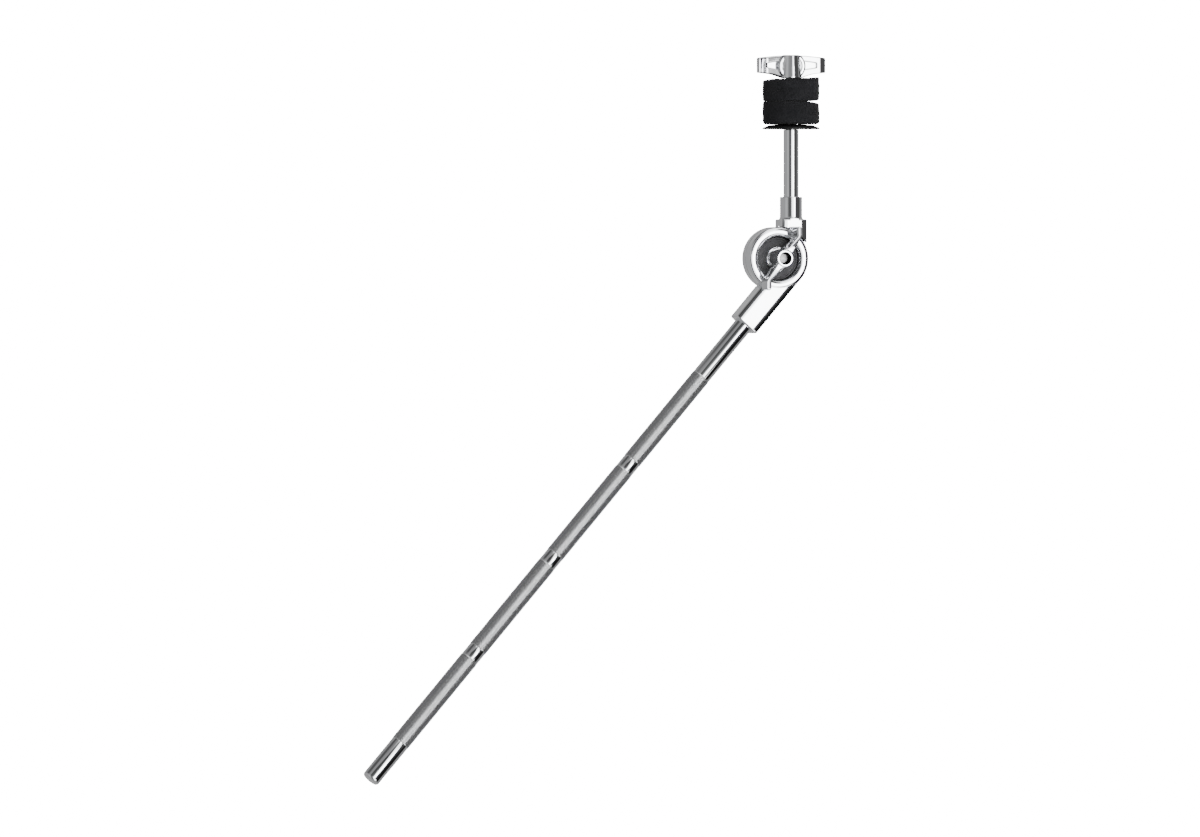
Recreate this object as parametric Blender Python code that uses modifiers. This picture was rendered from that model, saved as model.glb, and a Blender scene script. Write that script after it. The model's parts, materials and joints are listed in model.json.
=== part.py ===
"""Cymbal boom arm with a brake tilter, in metres, +Z up.

A knurled steel boom rod is pinned into the front half of a round brake tilter. The rear half
carries a steel post with an M8 stud, and on the stud sit a cup washer, a sleeve, two felts and a
wing nut. A carriage bolt and a second wing nut squeeze the two halves on a friction ring.

World frame: the origin is the centre of the rod's flat lower end. The tilter's axis is parallel to
Y and its wing nut is on the -Y side, which is the front. The post stands along +Z.

Arm frame: both halves of the tilter are modelled round the pivot, with x across, y along the neck
away from the pivot (up on the upper arm, -y on the lower arm) and z out of the front face.
"""

import math

import bmesh
import bpy
from mathutils import Matrix, Vector

MM = 0.001
FIT_GAP = 0.15 * MM  # round parts held in a bore
FACE_GAP = 0.2 * MM  # faces that rest on each other
CUT_PAST = 4 * MM  # how far a cutter runs past the surface that it opens

# Driving sizes of the boom rod
ROD_RADIUS = 6.35 * MM
KNURL_RADIUS = 6.55 * MM
ROD_END_ROUND = 2.2 * MM
ROD_PLAIN_END = 33 * MM
KNURL_LENGTH = 75 * MM
KNURL_ZONES = 4
BAND_LENGTH = 9 * MM
KNURL_CHAMFER = 0.4 * MM

# Driving sizes of the tilter
BOOM_LEAN = math.radians(40.9)  # the rod leans this far from the post's line
PIVOT_TO_ROD_END = 455.5 * MM
ROD_OFFSET = 12.2 * MM  # the rod's axis passes this far beside the pivot
POST_OFFSET = 11.2 * MM  # and the post's axis this far
NECK_WIDTH = 18 * MM
NECK_DEPTH = 16 * MM
NECK_CORNER = 3.75 * MM
NECK_END_CHAMFER = 1 * MM
LOWER_NECK_END = 49.3 * MM
UPPER_NECK_END = 26.6 * MM
NECK_START = 11 * MM  # beside the other half's disc, a neck stops this far from the pivot
ROD_SOCKET_DEPTH = 26 * MM

DISC_RADIUS = 21.4 * MM
DISC_CLEARANCE = 0.5 * MM  # between a disc's rim and the other arm's neck
PARTING = 0.3 * MM  # each half stops this far from the parting plane
RIM_CREST = 8.3 * MM
RIM_MIDDLE = 18.05 * MM
RIM_SHOULDER = 5.4 * MM
DISH_FLOOR = 3.4 * MM
DISH_RADIUS = 14.7 * MM
REAR_DISC_BACK = -8.6 * MM
REAR_DISC_ROUND = 1.6 * MM

BRAKE_INNER = 9.5 * MM
BRAKE_OUTER = 18.5 * MM
BRAKE_FACE = 0.1 * MM  # the lining and the plate stop this far from the parting plane
BRAKE_THICKNESS = 1.2 * MM
BRAKE_POCKET = 1.5 * MM

BOLT_RADIUS = 3.95 * MM
BOLT_END = 16.5 * MM
BOLT_HEAD_RADIUS = 9.2 * MM
BOLT_HEAD_HEIGHT = 3.7 * MM
SQUARE_NECK = 7.8 * MM
SQUARE_HOLE = 8.4 * MM
SQUARE_NECK_START = -4.4 * MM
BUSH_INNER = 4.15 * MM
BUSH_OUTER = 5.2 * MM
SPRING_POCKET_RADIUS = 7 * MM
SPRING_POCKET_FRONT = 1.6 * MM
SPRING_POCKET_BACK = -4 * MM
SPRING_WIRE = 0.45 * MM
SPRING_TURNS = 3
THRUST_DISC_TOP = 4.6 * MM
WASHER_TOP = 5.5 * MM
WASHER_RADIUS = 7.8 * MM

# Driving sizes of the post and of what sits on it, as heights above the pivot
COLLAR_RADIUS = 7.6 * MM
COLLAR_TOP = 41.8 * MM
POST_RADIUS = 5.15 * MM
POST_FOOT = 23.3 * MM
POST_SHOULDER = 87.3 * MM
STUD_RADIUS = 3.95 * MM
STUD_TOP = 136.6 * MM
SEAT_RADIUS = 19.4 * MM
SLEEVE_RADIUS = 5.6 * MM
SLEEVE_TOP = 118 * MM
FELT_RADIUS = 19.1 * MM
FELT_BORE = 6.1 * MM
LOWER_FELT = (90.9 * MM, 106.3 * MM)
UPPER_FELT = (106.5 * MM, 121.8 * MM)

# Driving sizes of the wing nuts
NUT_HEIGHT = 15.9 * MM
NUT_BORE = 4.15 * MM
NUT_HUB_RADIUS = 5.6 * MM
NUT_FOOT_RADIUS = 7 * MM
COIN_RADIUS = 9.2 * MM
COIN_THICKNESS = 6.8 * MM
WING_SPAN = 23.5 * MM  # from the nut's axis to a wing's end
WING_THICKNESS = 3.8 * MM
WING_POCKET_DEPTH = 1 * MM
WING_POCKET_END = 17.5 * MM
WING_END_THICKNESS = 2.8 * MM
WING_END_WIDTH = 5 * MM
TILTER_NUT_TURN = math.radians(57.8)  # from across the arm to along it

# Pins
ROD_PIN_RADIUS = 2 * MM
ROD_PIN_PLACE = -37 * MM
POST_PIN_RADIUS = 1.5 * MM
POST_PIN_PLACE = 35 * MM
PIN_WALL = 0.7 * MM
PIN_SLOT = 0.6 * MM

ROUND = 40  # facets of a large turned piece
SMALL_ROUND = 24
PIN_ROUND = 16

CHROME = ((0.80, 0.81, 0.83, 1), 0.08, 1.0)
KNURLED = ((0.62, 0.63, 0.65, 1), 0.30, 1.0)
ZINC_STEEL = ((0.66, 0.67, 0.68, 1), 0.32, 1.0)
DARK_NYLON = ((0.085, 0.085, 0.09, 1), 0.42, 0.0)
PALE_NYLON = ((0.72, 0.70, 0.64, 1), 0.45, 0.0)
BLACK_NYLON = ((0.015, 0.015, 0.016, 1), 0.38, 0.0)
FELT = ((0.022, 0.022, 0.024, 1), 0.95, 0.0)
LINING = ((0.16, 0.13, 0.10, 1), 0.85, 0.0)


def clear_scene():
    for obj in list(bpy.data.objects):
        bpy.data.objects.remove(obj)


def collection(name):
    made = bpy.data.collections.new(name)
    bpy.context.scene.collection.children.link(made)
    return made


def material(name, look):
    colour, roughness, metallic = look
    made = bpy.data.materials.new(name)
    made.use_nodes = True
    shader = made.node_tree.nodes["Principled BSDF"]
    shader.inputs["Base Color"].default_value = colour
    shader.inputs["Roughness"].default_value = roughness
    shader.inputs["Metallic"].default_value = metallic
    return made


def frame(name, location=(0, 0, 0), turn=(0, 0, 0), parent=None):
    """An empty that carries the pieces of one arm or one moving group."""
    empty = bpy.data.objects.new(name, None)
    empty.location = location
    empty.rotation_euler = turn
    empty.parent = parent
    PARTS.objects.link(empty)
    return empty


def add_object(name, mesh, parent, look=None, location=(0, 0, 0), turn=(0, 0, 0)):
    """Links a mesh as a piece, or as a cutter when it has no look."""
    obj = bpy.data.objects.new(name, mesh)
    obj.location = location
    obj.rotation_euler = turn
    obj.parent = parent
    if look is None:
        obj.hide_render = True
        obj.display_type = "WIRE"
        CUTTERS.objects.link(obj)
    else:
        mesh.materials.append(look)
        PARTS.objects.link(obj)
    return obj


def mesh_from(bm, name):
    bmesh.ops.recalc_face_normals(bm, faces=bm.faces)
    mesh = bpy.data.meshes.new(name)
    bm.to_mesh(mesh)
    bm.free()
    mesh.shade_smooth()
    mesh.set_sharp_from_angle(angle=math.radians(35))
    return mesh


def turned(name, profile, parent, look=None, steps=ROUND, closed=True, **place):
    """A profile of (radius, height) spun round Z. It runs down its outer side, top to bottom."""
    mesh = bpy.data.meshes.new(name)
    points = [(radius, 0, height) for radius, height in profile]
    edges = [(i, i + 1) for i in range(len(points) - 1)]
    if closed:
        edges.append((len(points) - 1, 0))
    mesh.from_pydata(points, edges, [])
    obj = add_object(name, mesh, parent, look, **place)
    screw = obj.modifiers.new("Turn", "SCREW")
    screw.steps = screw.render_steps = steps
    screw.use_merge_vertices = True
    screw.merge_threshold = 0.00001
    screw.use_smooth_shade = False
    return obj


def arc(centre, radius, start, end, steps):
    """Points (radius, height) on an arc, from start to end in degrees, both ends included."""
    angles = [math.radians(start + (end - start) * i / steps) for i in range(steps + 1)]
    return [(centre[0] + radius * math.cos(a), centre[1] + radius * math.sin(a)) for a in angles]


def rounded_bar(name, low, high, axis, corner, parent, end_chamfer=0.0, corner_steps=4):
    """A box whose edges along one axis are rounded, and whose far end in -axis can be chamfered."""
    low, high = Vector(low), Vector(high)
    bm = bmesh.new()
    size = high - low
    place = Matrix.Translation((low + high) / 2) @ Matrix.Diagonal((*size, 1))
    bmesh.ops.create_cube(bm, size=1, matrix=place)
    along = [e for e in bm.edges if abs((e.verts[0].co - e.verts[1].co)[axis]) > size[axis] / 2]
    bmesh.ops.bevel(bm, geom=along, offset=corner, segments=corner_steps, profile=0.5, affect="EDGES")
    if end_chamfer:
        rim = [e for e in bm.edges if all(abs(v.co[axis] - low[axis]) < 1e-7 for v in e.verts)]
        bmesh.ops.bevel(bm, geom=rim, offset=end_chamfer, segments=1, profile=0.5, affect="EDGES")
    return add_object(name, mesh_from(bm, name), parent)


def cylinder_cutter(name, radius, start, end, parent, steps=SMALL_ROUND):
    """A round cutter from start to end, two points on one axis."""
    start, end = Vector(start), Vector(end)
    bm = bmesh.new()
    turn = (end - start).to_track_quat("Z", "Y").to_matrix().to_4x4()
    place = Matrix.Translation((start + end) / 2) @ turn
    depth = (end - start).length
    bmesh.ops.create_cone(
        bm, cap_ends=True, segments=steps, radius1=radius, radius2=radius, depth=depth, matrix=place
    )
    return add_object(name, mesh_from(bm, name), parent)


def box_cutter(name, low, high, parent):
    bm = bmesh.new()
    size = Vector(high) - Vector(low)
    place = Matrix.Translation((Vector(low) + Vector(high)) / 2) @ Matrix.Diagonal((*size, 1))
    bmesh.ops.create_cube(bm, size=1, matrix=place)
    return add_object(name, mesh_from(bm, name), parent)


def combine(obj, operation, *others):
    for other in others:
        step = obj.modifiers.new(other.name, "BOOLEAN")
        step.operation = operation
        step.object = other


def outline_plate(name, points, thickness, parent):
    """A flat outline in x and z, made as a filled 2D curve and turned into a mesh."""
    curve = bpy.data.curves.new(name, "CURVE")
    curve.dimensions = "2D"
    curve.fill_mode = "BOTH"
    curve.extrude = thickness / 2
    spline = curve.splines.new("POLY")
    spline.points.add(len(points) - 1)
    for point, (x, z) in zip(spline.points, points):
        point.co = (x, z, 0, 1)
    spline.use_cyclic_u = True
    guide = bpy.data.objects.new(name + "_curve", curve)
    CUTTERS.objects.link(guide)
    mesh = bpy.data.meshes.new_from_object(guide.evaluated_get(bpy.context.evaluated_depsgraph_get()))
    bpy.data.objects.remove(guide)
    bm = bmesh.new()
    bm.from_mesh(mesh)
    bmesh.ops.remove_doubles(bm, verts=bm.verts, dist=1e-6)
    bm.transform(Matrix.Rotation(math.pi / 2, 4, "X"))
    return add_object(name, mesh_from(bm, name), parent)


# --- Boom rod ---------------------------------------------------------------------------------


def ellipse(centre, across, up, start, end, steps):
    """Points on an ellipse's arc, from start to end in degrees, both ends included."""
    unit = arc((0, 0), 1, start, end, steps)
    return [(centre[0] + across * x, centre[1] + up * y) for x, y in unit]


def rod_profile(length):
    """Outer side of the rod from its top, in the socket, to its rounded lower end at height 0."""
    points = [(0, length), (ROD_RADIUS - 0.6 * MM, length), (ROD_RADIUS, length - 0.6 * MM)]
    low_ends = [ROD_PLAIN_END + i * (KNURL_LENGTH + BAND_LENGTH) for i in range(KNURL_ZONES)]
    for low in reversed(low_ends):
        points += [
            (ROD_RADIUS, low + KNURL_LENGTH),
            (KNURL_RADIUS, low + KNURL_LENGTH - KNURL_CHAMFER),
            (KNURL_RADIUS, low + KNURL_CHAMFER),
            (ROD_RADIUS, low),
        ]
    points += arc((ROD_RADIUS - ROD_END_ROUND, ROD_END_ROUND), ROD_END_ROUND, 0, -90, 4)
    return points + [(0, 0)]


def boom_rod(boom):
    length = PIVOT_TO_ROD_END - LOWER_NECK_END + ROD_SOCKET_DEPTH - FACE_GAP
    rod = turned(
        "boom_rod", rod_profile(length), boom, KNURL_LOOK, steps=28, closed=False,
        location=(ROD_OFFSET, -PIVOT_TO_ROD_END, 0), turn=(-math.pi / 2, 0, 0),
    )
    reach = KNURL_RADIUS + CUT_PAST
    hole = cylinder_cutter(
        "rod_pin_hole_in_rod", ROD_PIN_RADIUS + FIT_GAP,
        (ROD_OFFSET, ROD_PIN_PLACE, -reach), (ROD_OFFSET, ROD_PIN_PLACE, reach), boom, PIN_ROUND,
    )
    combine(rod, "DIFFERENCE", hole)


# --- Tilter halves ----------------------------------------------------------------------------


def neck(name, offset, ends, parent, end_chamfer=0.0):
    """A rounded bar beside the pivot. Past the parting plane it keeps clear of the other half's disc.

    The lower neck belongs to the front disc, so its rear part is the one cut back, and the upper
    neck's is its front part.
    """
    low = (offset - NECK_WIDTH / 2, ends[0], -NECK_DEPTH / 2)
    high = (offset + NECK_WIDTH / 2, ends[1], NECK_DEPTH / 2)
    bar = rounded_bar(name, low, high, 1, NECK_CORNER, parent, end_chamfer)
    upper = ends[1] > 0
    deep = NECK_DEPTH / 2 + CUT_PAST
    far = (0, 0, deep if upper else -deep)
    near = (0, 0, -PARTING if upper else PARTING)
    hollow = cylinder_cutter(
        name + "_hollow", DISC_RADIUS - 1.6 * MM, (0, 0, -1.2 * deep), (0, 0, 1.2 * deep), parent, 48
    )
    disc = cylinder_cutter(name + "_disc_clearance", DISC_RADIUS + DISC_CLEARANCE, near, far, parent, 48)
    start_low, start_high = (-deep, NECK_START) if upper else (-NECK_START, deep)
    depth_low, depth_high = sorted((near[2], 1.1 * far[2]))
    start = box_cutter(
        name + "_start", (0, start_low, depth_low), (30 * MM, start_high, depth_high), parent
    )
    combine(bar, "DIFFERENCE", hollow, disc, start)
    return bar


def lower_casting(boom):
    """The front disc with its rounded rim and its dish, and the neck that holds the rod."""
    crest_height = RIM_CREST - RIM_SHOULDER
    profile = [(BUSH_OUTER + FIT_GAP, DISH_FLOOR), (DISH_RADIUS, DISH_FLOOR)]
    profile += ellipse((RIM_MIDDLE, RIM_SHOULDER), RIM_MIDDLE - DISH_RADIUS, crest_height, 180, 90, 5)
    profile += ellipse((RIM_MIDDLE, RIM_SHOULDER), DISC_RADIUS - RIM_MIDDLE, crest_height, 90, 0, 5)[1:]
    profile += [(DISC_RADIUS, PARTING + 0.3 * MM), (DISC_RADIUS - 0.3 * MM, PARTING)]
    profile += brake_pocket(1)
    profile += [(SPRING_POCKET_RADIUS, PARTING), (SPRING_POCKET_RADIUS, SPRING_POCKET_FRONT)]
    profile += [(BUSH_OUTER + FIT_GAP, SPRING_POCKET_FRONT)]
    body = turned("lower_tilter_casting", profile, boom, CHROME_LOOK, steps=48)
    bar = neck("lower_neck", ROD_OFFSET, (-LOWER_NECK_END, 0), boom, NECK_END_CHAMFER)
    combine(body, "UNION", bar)

    deep = NECK_DEPTH / 2 + CUT_PAST
    socket_top = -LOWER_NECK_END + ROD_SOCKET_DEPTH
    socket = cylinder_cutter(
        "rod_socket", ROD_RADIUS + FIT_GAP,
        (ROD_OFFSET, -LOWER_NECK_END - CUT_PAST, 0), (ROD_OFFSET, socket_top, 0), boom, 28,
    )
    pin_hole = cylinder_cutter(
        "rod_pin_hole", ROD_PIN_RADIUS + FIT_GAP,
        (ROD_OFFSET, ROD_PIN_PLACE, -deep), (ROD_OFFSET, ROD_PIN_PLACE, 0), boom, PIN_ROUND,
    )
    combine(body, "DIFFERENCE", pin_hole, socket)


def brake_pocket(side):
    """The ring-shaped pocket for the lining, in front (1), or for the plate, behind (-1)."""
    inner, outer = BRAKE_INNER - 0.3 * MM, BRAKE_OUTER + 0.3 * MM
    points = [(outer, PARTING), (outer, BRAKE_POCKET), (inner, BRAKE_POCKET), (inner, PARTING)]
    return [(radius, side * depth) for radius, depth in points]


def upper_casting(arm):
    """The rear disc, the neck beside it and the collar that holds the post."""
    profile = [(SPRING_POCKET_RADIUS, -PARTING)]
    profile += brake_pocket(-1)[::-1]
    profile += [(DISC_RADIUS - 0.3 * MM, -PARTING), (DISC_RADIUS, -PARTING - 0.3 * MM)]
    centre = (DISC_RADIUS - REAR_DISC_ROUND, REAR_DISC_BACK + REAR_DISC_ROUND)
    profile += arc(centre, REAR_DISC_ROUND, 0, -90, 4)
    profile += [(BUSH_INNER, REAR_DISC_BACK), (BUSH_INNER, SPRING_POCKET_BACK)]
    profile += [(SPRING_POCKET_RADIUS, SPRING_POCKET_BACK)]
    body = turned("upper_tilter_casting", profile, arm, CHROME_LOOK, steps=48)
    bar = neck("upper_neck", POST_OFFSET, (0, UPPER_NECK_END), arm)
    collar = cylinder_cutter(
        "collar", COLLAR_RADIUS,
        (POST_OFFSET, UPPER_NECK_END - 1 * MM, 0), (POST_OFFSET, COLLAR_TOP, 0), arm, 32,
    )
    combine(body, "UNION", bar, collar)

    deep = NECK_DEPTH / 2 + CUT_PAST
    post_bore = cylinder_cutter(
        "post_bore", POST_RADIUS + FIT_GAP,
        (POST_OFFSET, POST_FOOT - FACE_GAP, 0), (POST_OFFSET, COLLAR_TOP + CUT_PAST, 0), arm,
    )
    pin_hole = cylinder_cutter(
        "post_pin_hole", POST_PIN_RADIUS + FIT_GAP,
        (POST_OFFSET, POST_PIN_PLACE, -deep), (POST_OFFSET, POST_PIN_PLACE, 0), arm, PIN_ROUND,
    )
    half = SQUARE_HOLE / 2
    square = box_cutter(
        "square_hole", (-half, -half, REAR_DISC_BACK - CUT_PAST), (half, half, -BRAKE_POCKET), arm
    )
    combine(body, "DIFFERENCE", pin_hole, post_bore, square)


# --- What squeezes the tilter -----------------------------------------------------------------


def hinge_bolt(arm):
    """A carriage bolt: domed head behind the rear disc, square neck in it, end inside the wing nut."""
    underside = REAR_DISC_BACK - FACE_GAP
    head_back = underside - BOLT_HEAD_HEIGHT
    dome = arc((0, 0), 1, 0, -90, 5)
    profile = [(0, BOLT_END), (BOLT_RADIUS - 0.7 * MM, BOLT_END), (BOLT_RADIUS, BOLT_END - 0.7 * MM)]
    profile += [(BOLT_RADIUS, underside), (BOLT_HEAD_RADIUS, underside)]
    profile += [(BOLT_HEAD_RADIUS * r, underside - 0.6 * MM + (head_back - underside + 0.6 * MM) * -h)
                for r, h in dome[:-1]]
    profile += [(0, head_back)]
    bolt = turned("hinge_bolt", profile, arm, STEEL_LOOK, steps=SMALL_ROUND, closed=False)
    half = SQUARE_NECK / 2
    square = box_cutter(
        "square_neck", (-half, -half, underside - 0.5 * MM), (half, half, SQUARE_NECK_START), arm
    )
    combine(bolt, "UNION", square)


def ring(name, inner, outer, low, high, parent, look, chamfer=0.0, steps=ROUND):
    """A flat ring whose upper outer edge can be chamfered."""
    profile = [(inner, high), (outer - chamfer, high)]
    if chamfer:
        profile.append((outer, high - chamfer))
    profile += [(outer, low), (inner, low)]
    turned(name, profile, parent, look, steps=steps)


def brakes(boom, arm):
    """A fibre lining in the front half, which bears on a steel plate in the rear half."""
    far = BRAKE_FACE + BRAKE_THICKNESS
    ring("brake_lining", BRAKE_INNER, BRAKE_OUTER, BRAKE_FACE, far, boom, LINING_LOOK)
    ring("brake_plate", BRAKE_INNER, BRAKE_OUTER, -far, -BRAKE_FACE, arm, STEEL_LOOK)


def release_spring(boom):
    """A coil round the bolt, in the pockets of the two halves."""
    points_a_turn = 12
    radius = SPRING_POCKET_RADIUS - SPRING_WIRE - 0.5 * MM
    low = SPRING_POCKET_BACK + SPRING_WIRE + FACE_GAP
    high = SPRING_POCKET_FRONT - SPRING_WIRE - FACE_GAP
    curve = bpy.data.curves.new("release_spring", "CURVE")
    curve.dimensions = "3D"
    curve.bevel_depth = SPRING_WIRE
    curve.bevel_resolution = 1
    curve.use_fill_caps = True
    spline = curve.splines.new("POLY")
    count = SPRING_TURNS * points_a_turn
    spline.points.add(count)
    for i, point in enumerate(spline.points):
        angle = 2 * math.pi * i / points_a_turn
        height = low + (high - low) * i / count
        point.co = (radius * math.cos(angle), radius * math.sin(angle), height, 1)
    add_object("release_spring", curve, boom, STEEL_LOOK)


def washers(boom, carrier):
    """The bush and the thrust disc that the bolt and its washer turn against."""
    low = SPRING_POCKET_FRONT + FACE_GAP
    ring("bolt_bush", BUSH_INNER, BUSH_OUTER, low, THRUST_DISC_TOP, boom, PALE_LOOK, steps=SMALL_ROUND)
    low, outer = DISH_FLOOR + FACE_GAP, DISH_RADIUS - 0.3 * MM
    ring("thrust_disc", BUSH_OUTER + FIT_GAP, outer, low, THRUST_DISC_TOP, boom, DARK_LOOK, 0.4 * MM)
    low, edge = THRUST_DISC_TOP + FACE_GAP, 0.3 * MM
    ring("tilter_washer", BUSH_INNER, WASHER_RADIUS, low, WASHER_TOP, carrier, CHROME_LOOK, edge, 32)


# --- Wing nut ---------------------------------------------------------------------------------


def wing_outline(side):
    """Side view of one wing, in x and z, from inside the hub to its end."""
    end = WING_SPAN - WING_END_THICKNESS / 2
    points = [(1 * MM, 0.5 * MM), (6.4 * MM, 0.7 * MM), (12 * MM, 2.1 * MM), (end, 3.6 * MM)]
    points += [(end, 14 * MM), (12 * MM, 15.1 * MM), (1 * MM, 15.5 * MM)]
    return [(side * x, z) for x, z in points]


def pocket_outline(side):
    """The hollow in a wing's flat face, tall beside the hub and low at its rounded end."""
    far = WING_POCKET_END
    near = COIN_RADIUS + 0.5 * MM
    points = [(near, 5.7 * MM), (far - 1 * MM, 6.6 * MM), (far, 7.4 * MM), (far, 9.4 * MM)]
    points += [(far - 1 * MM, 10.2 * MM), (near, 11.2 * MM)]
    return [(side * x, z) for x, z in points]


def coin(name, nut):
    """The upright disc that the hub passes through, flat at its top and bottom."""
    half = COIN_THICKNESS / 2
    disc = cylinder_cutter(name, COIN_RADIUS, (0, -half, 8.3 * MM), (0, half, 8.3 * MM), nut, 32)
    reach = COIN_RADIUS + CUT_PAST
    low = box_cutter(name + "_low", (-reach, -reach, -reach), (reach, reach, 0.5 * MM), nut)
    high = box_cutter(name + "_high", (-reach, -reach, 15.5 * MM), (reach, reach, 30 * MM), nut)
    combine(disc, "DIFFERENCE", low, high)
    return disc


def wing_nut(name, parent, **place):
    """Hub, upright disc, and two wings with a pocket on each face and a thick upright end."""
    profile = [(NUT_BORE, NUT_HEIGHT - 0.6 * MM), (NUT_BORE + 0.6 * MM, NUT_HEIGHT)]
    profile += [(NUT_HUB_RADIUS - 0.6 * MM, NUT_HEIGHT), (NUT_HUB_RADIUS, NUT_HEIGHT - 0.6 * MM)]
    profile += [(NUT_HUB_RADIUS + 0.3 * MM, 1.9 * MM), (NUT_FOOT_RADIUS, 1.4 * MM)]
    profile += [(NUT_FOOT_RADIUS, 0), (NUT_BORE, 0)]
    nut = turned(name, profile, parent, CHROME_LOOK, steps=SMALL_ROUND, **place)
    combine(nut, "UNION", coin(name + "_coin", nut))
    pockets = []
    for side, label in ((1, "_right"), (-1, "_left")):
        wing = outline_plate(name + label, wing_outline(side), WING_THICKNESS, nut)
        inner, outer = sorted((side * (WING_SPAN - WING_END_THICKNESS), side * WING_SPAN))
        low = (inner, -WING_END_WIDTH / 2, 3.4 * MM)
        high = (outer, WING_END_WIDTH / 2, 14.2 * MM)
        end = rounded_bar(name + label + "_end", low, high, 2, 1 * MM, nut, corner_steps=2)
        combine(nut, "UNION", wing, end)
        for face, turn in (("_front", -1), ("_back", 1)):
            cut = outline_plate(name + label + face, pocket_outline(side), 2 * WING_POCKET_DEPTH, nut)
            cut.location.y = turn * WING_THICKNESS / 2
            pockets.append(cut)
    reach = NUT_HEIGHT + CUT_PAST
    bore = cylinder_cutter(name + "_bore", NUT_BORE, (0, 0, -CUT_PAST), (0, 0, reach), nut)
    combine(nut, "DIFFERENCE", *pockets, bore)


# --- Post and what sits on it -----------------------------------------------------------------


def post(arm):
    """A plain round post that steps down to the M8 stud."""
    profile = [(0, STUD_TOP), (STUD_RADIUS - 0.8 * MM, STUD_TOP), (STUD_RADIUS, STUD_TOP - 0.8 * MM)]
    profile += [(STUD_RADIUS, POST_SHOULDER), (POST_RADIUS - 0.3 * MM, POST_SHOULDER)]
    profile += [(POST_RADIUS, POST_SHOULDER - 0.3 * MM), (POST_RADIUS, POST_FOOT + 0.5 * MM)]
    profile += [(POST_RADIUS - 0.5 * MM, POST_FOOT), (0, POST_FOOT)]
    bar = turned("post", profile, arm, CHROME_LOOK, steps=SMALL_ROUND, closed=False)
    reach = POST_RADIUS + CUT_PAST
    hole = cylinder_cutter(
        "post_pin_hole_in_post", POST_PIN_RADIUS + FIT_GAP,
        (0, reach, POST_PIN_PLACE), (0, -reach, POST_PIN_PLACE), bar, PIN_ROUND,
    )
    combine(bar, "DIFFERENCE", hole)


def seat_washer(post_line):
    """A shallow domed cup washer: high at the stud, low at its rim."""
    low = POST_SHOULDER + FACE_GAP
    inner = STUD_RADIUS + 0.4 * MM
    top = LOWER_FELT[0] - FACE_GAP
    profile = [(inner, top), (9 * MM, top), (14 * MM, top - 0.5 * MM), (18.6 * MM, top - 1.7 * MM)]
    profile += [(SEAT_RADIUS, top - 2.3 * MM), (SEAT_RADIUS, low), (18 * MM, low)]
    profile += [(13 * MM, low + 1 * MM), (8 * MM, low + 1.3 * MM), (7 * MM, low), (inner, low)]
    turned("seat_washer", profile, post_line, BLACK_LOOK)


def cymbal_sleeve(post_line):
    low, inner = LOWER_FELT[0], STUD_RADIUS + 0.35 * MM
    profile = [(inner, SLEEVE_TOP), (SLEEVE_RADIUS - 0.5 * MM, SLEEVE_TOP)]
    profile += [(SLEEVE_RADIUS, SLEEVE_TOP - 0.5 * MM), (SLEEVE_RADIUS, low), (inner, low)]
    turned("cymbal_sleeve", profile, post_line, BLACK_LOOK, steps=SMALL_ROUND)


def felt(name, span, parent):
    """A thick felt ring with softly rounded outer edges."""
    low, high = span
    soft = 1.1 * MM
    profile = [(FELT_BORE, high)]
    profile += arc((FELT_RADIUS - soft, high - soft), soft, 90, 0, 2)
    profile += arc((FELT_RADIUS - soft, low + soft), soft, 0, -90, 2)
    profile += [(FELT_BORE, low)]
    turned(name, profile, parent, FELT_LOOK, steps=32)


def spring_pin(name, radius, length, parent, **place):
    """A rolled steel pin with a slot along one side."""
    profile = [(radius - PIN_WALL, length), (radius - 0.2 * MM, length), (radius, length - 0.3 * MM)]
    profile += [(radius, 0), (radius - PIN_WALL, 0)]
    pin = turned(name, profile, parent, STEEL_LOOK, steps=PIN_ROUND, **place)
    low, high = (0.2 * MM, -PIN_SLOT / 2, -CUT_PAST), (radius + CUT_PAST, PIN_SLOT / 2, length + CUT_PAST)
    combine(pin, "DIFFERENCE", box_cutter(name + "_slot", low, high, pin))


def pins(boom, arm):
    depth = NECK_DEPTH / 2 - 0.3 * MM
    spring_pin(
        "rod_pin", ROD_PIN_RADIUS, depth + 5.6 * MM, boom, location=(ROD_OFFSET, ROD_PIN_PLACE, -depth)
    )
    depth = COLLAR_RADIUS - 0.4 * MM
    spring_pin(
        "post_pin", POST_PIN_RADIUS, depth + 4.4 * MM, arm, location=(POST_OFFSET, POST_PIN_PLACE, -depth)
    )


def build():
    lean = Matrix.Rotation(BOOM_LEAN, 3, "Y")
    pivot = -(lean @ Vector((ROD_OFFSET, 0, -PIVOT_TO_ROD_END)))
    face_front = (math.pi / 2, 0, 0)  # turns local z to the front, -Y, and local y up
    upper_arm = frame("upper_arm", pivot)
    arm = frame("upper_arm_axis", turn=face_front, parent=upper_arm)
    lower_arm = frame("lower_arm", pivot, (0, BOOM_LEAN, 0))
    boom = frame("lower_arm_axis", turn=face_front, parent=lower_arm)
    post_line = frame("post_line", (POST_OFFSET, 0, 0), parent=upper_arm)

    boom_rod(boom)
    lower_casting(boom)
    upper_casting(arm)
    brakes(boom, arm)
    release_spring(boom)
    washers(boom, arm)
    hinge_bolt(arm)
    nut_base = (0, 0, WASHER_TOP + FACE_GAP)
    wing_nut("tilter_wing_nut", arm, location=nut_base, turn=(0, 0, TILTER_NUT_TURN))

    post(post_line)
    seat_washer(post_line)
    cymbal_sleeve(post_line)
    felt("lower_felt", LOWER_FELT, post_line)
    felt("upper_felt", UPPER_FELT, post_line)
    wing_nut("top_wing_nut", post_line, location=(0, 0, UPPER_FELT[1] + FACE_GAP))
    pins(boom, arm)


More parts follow.
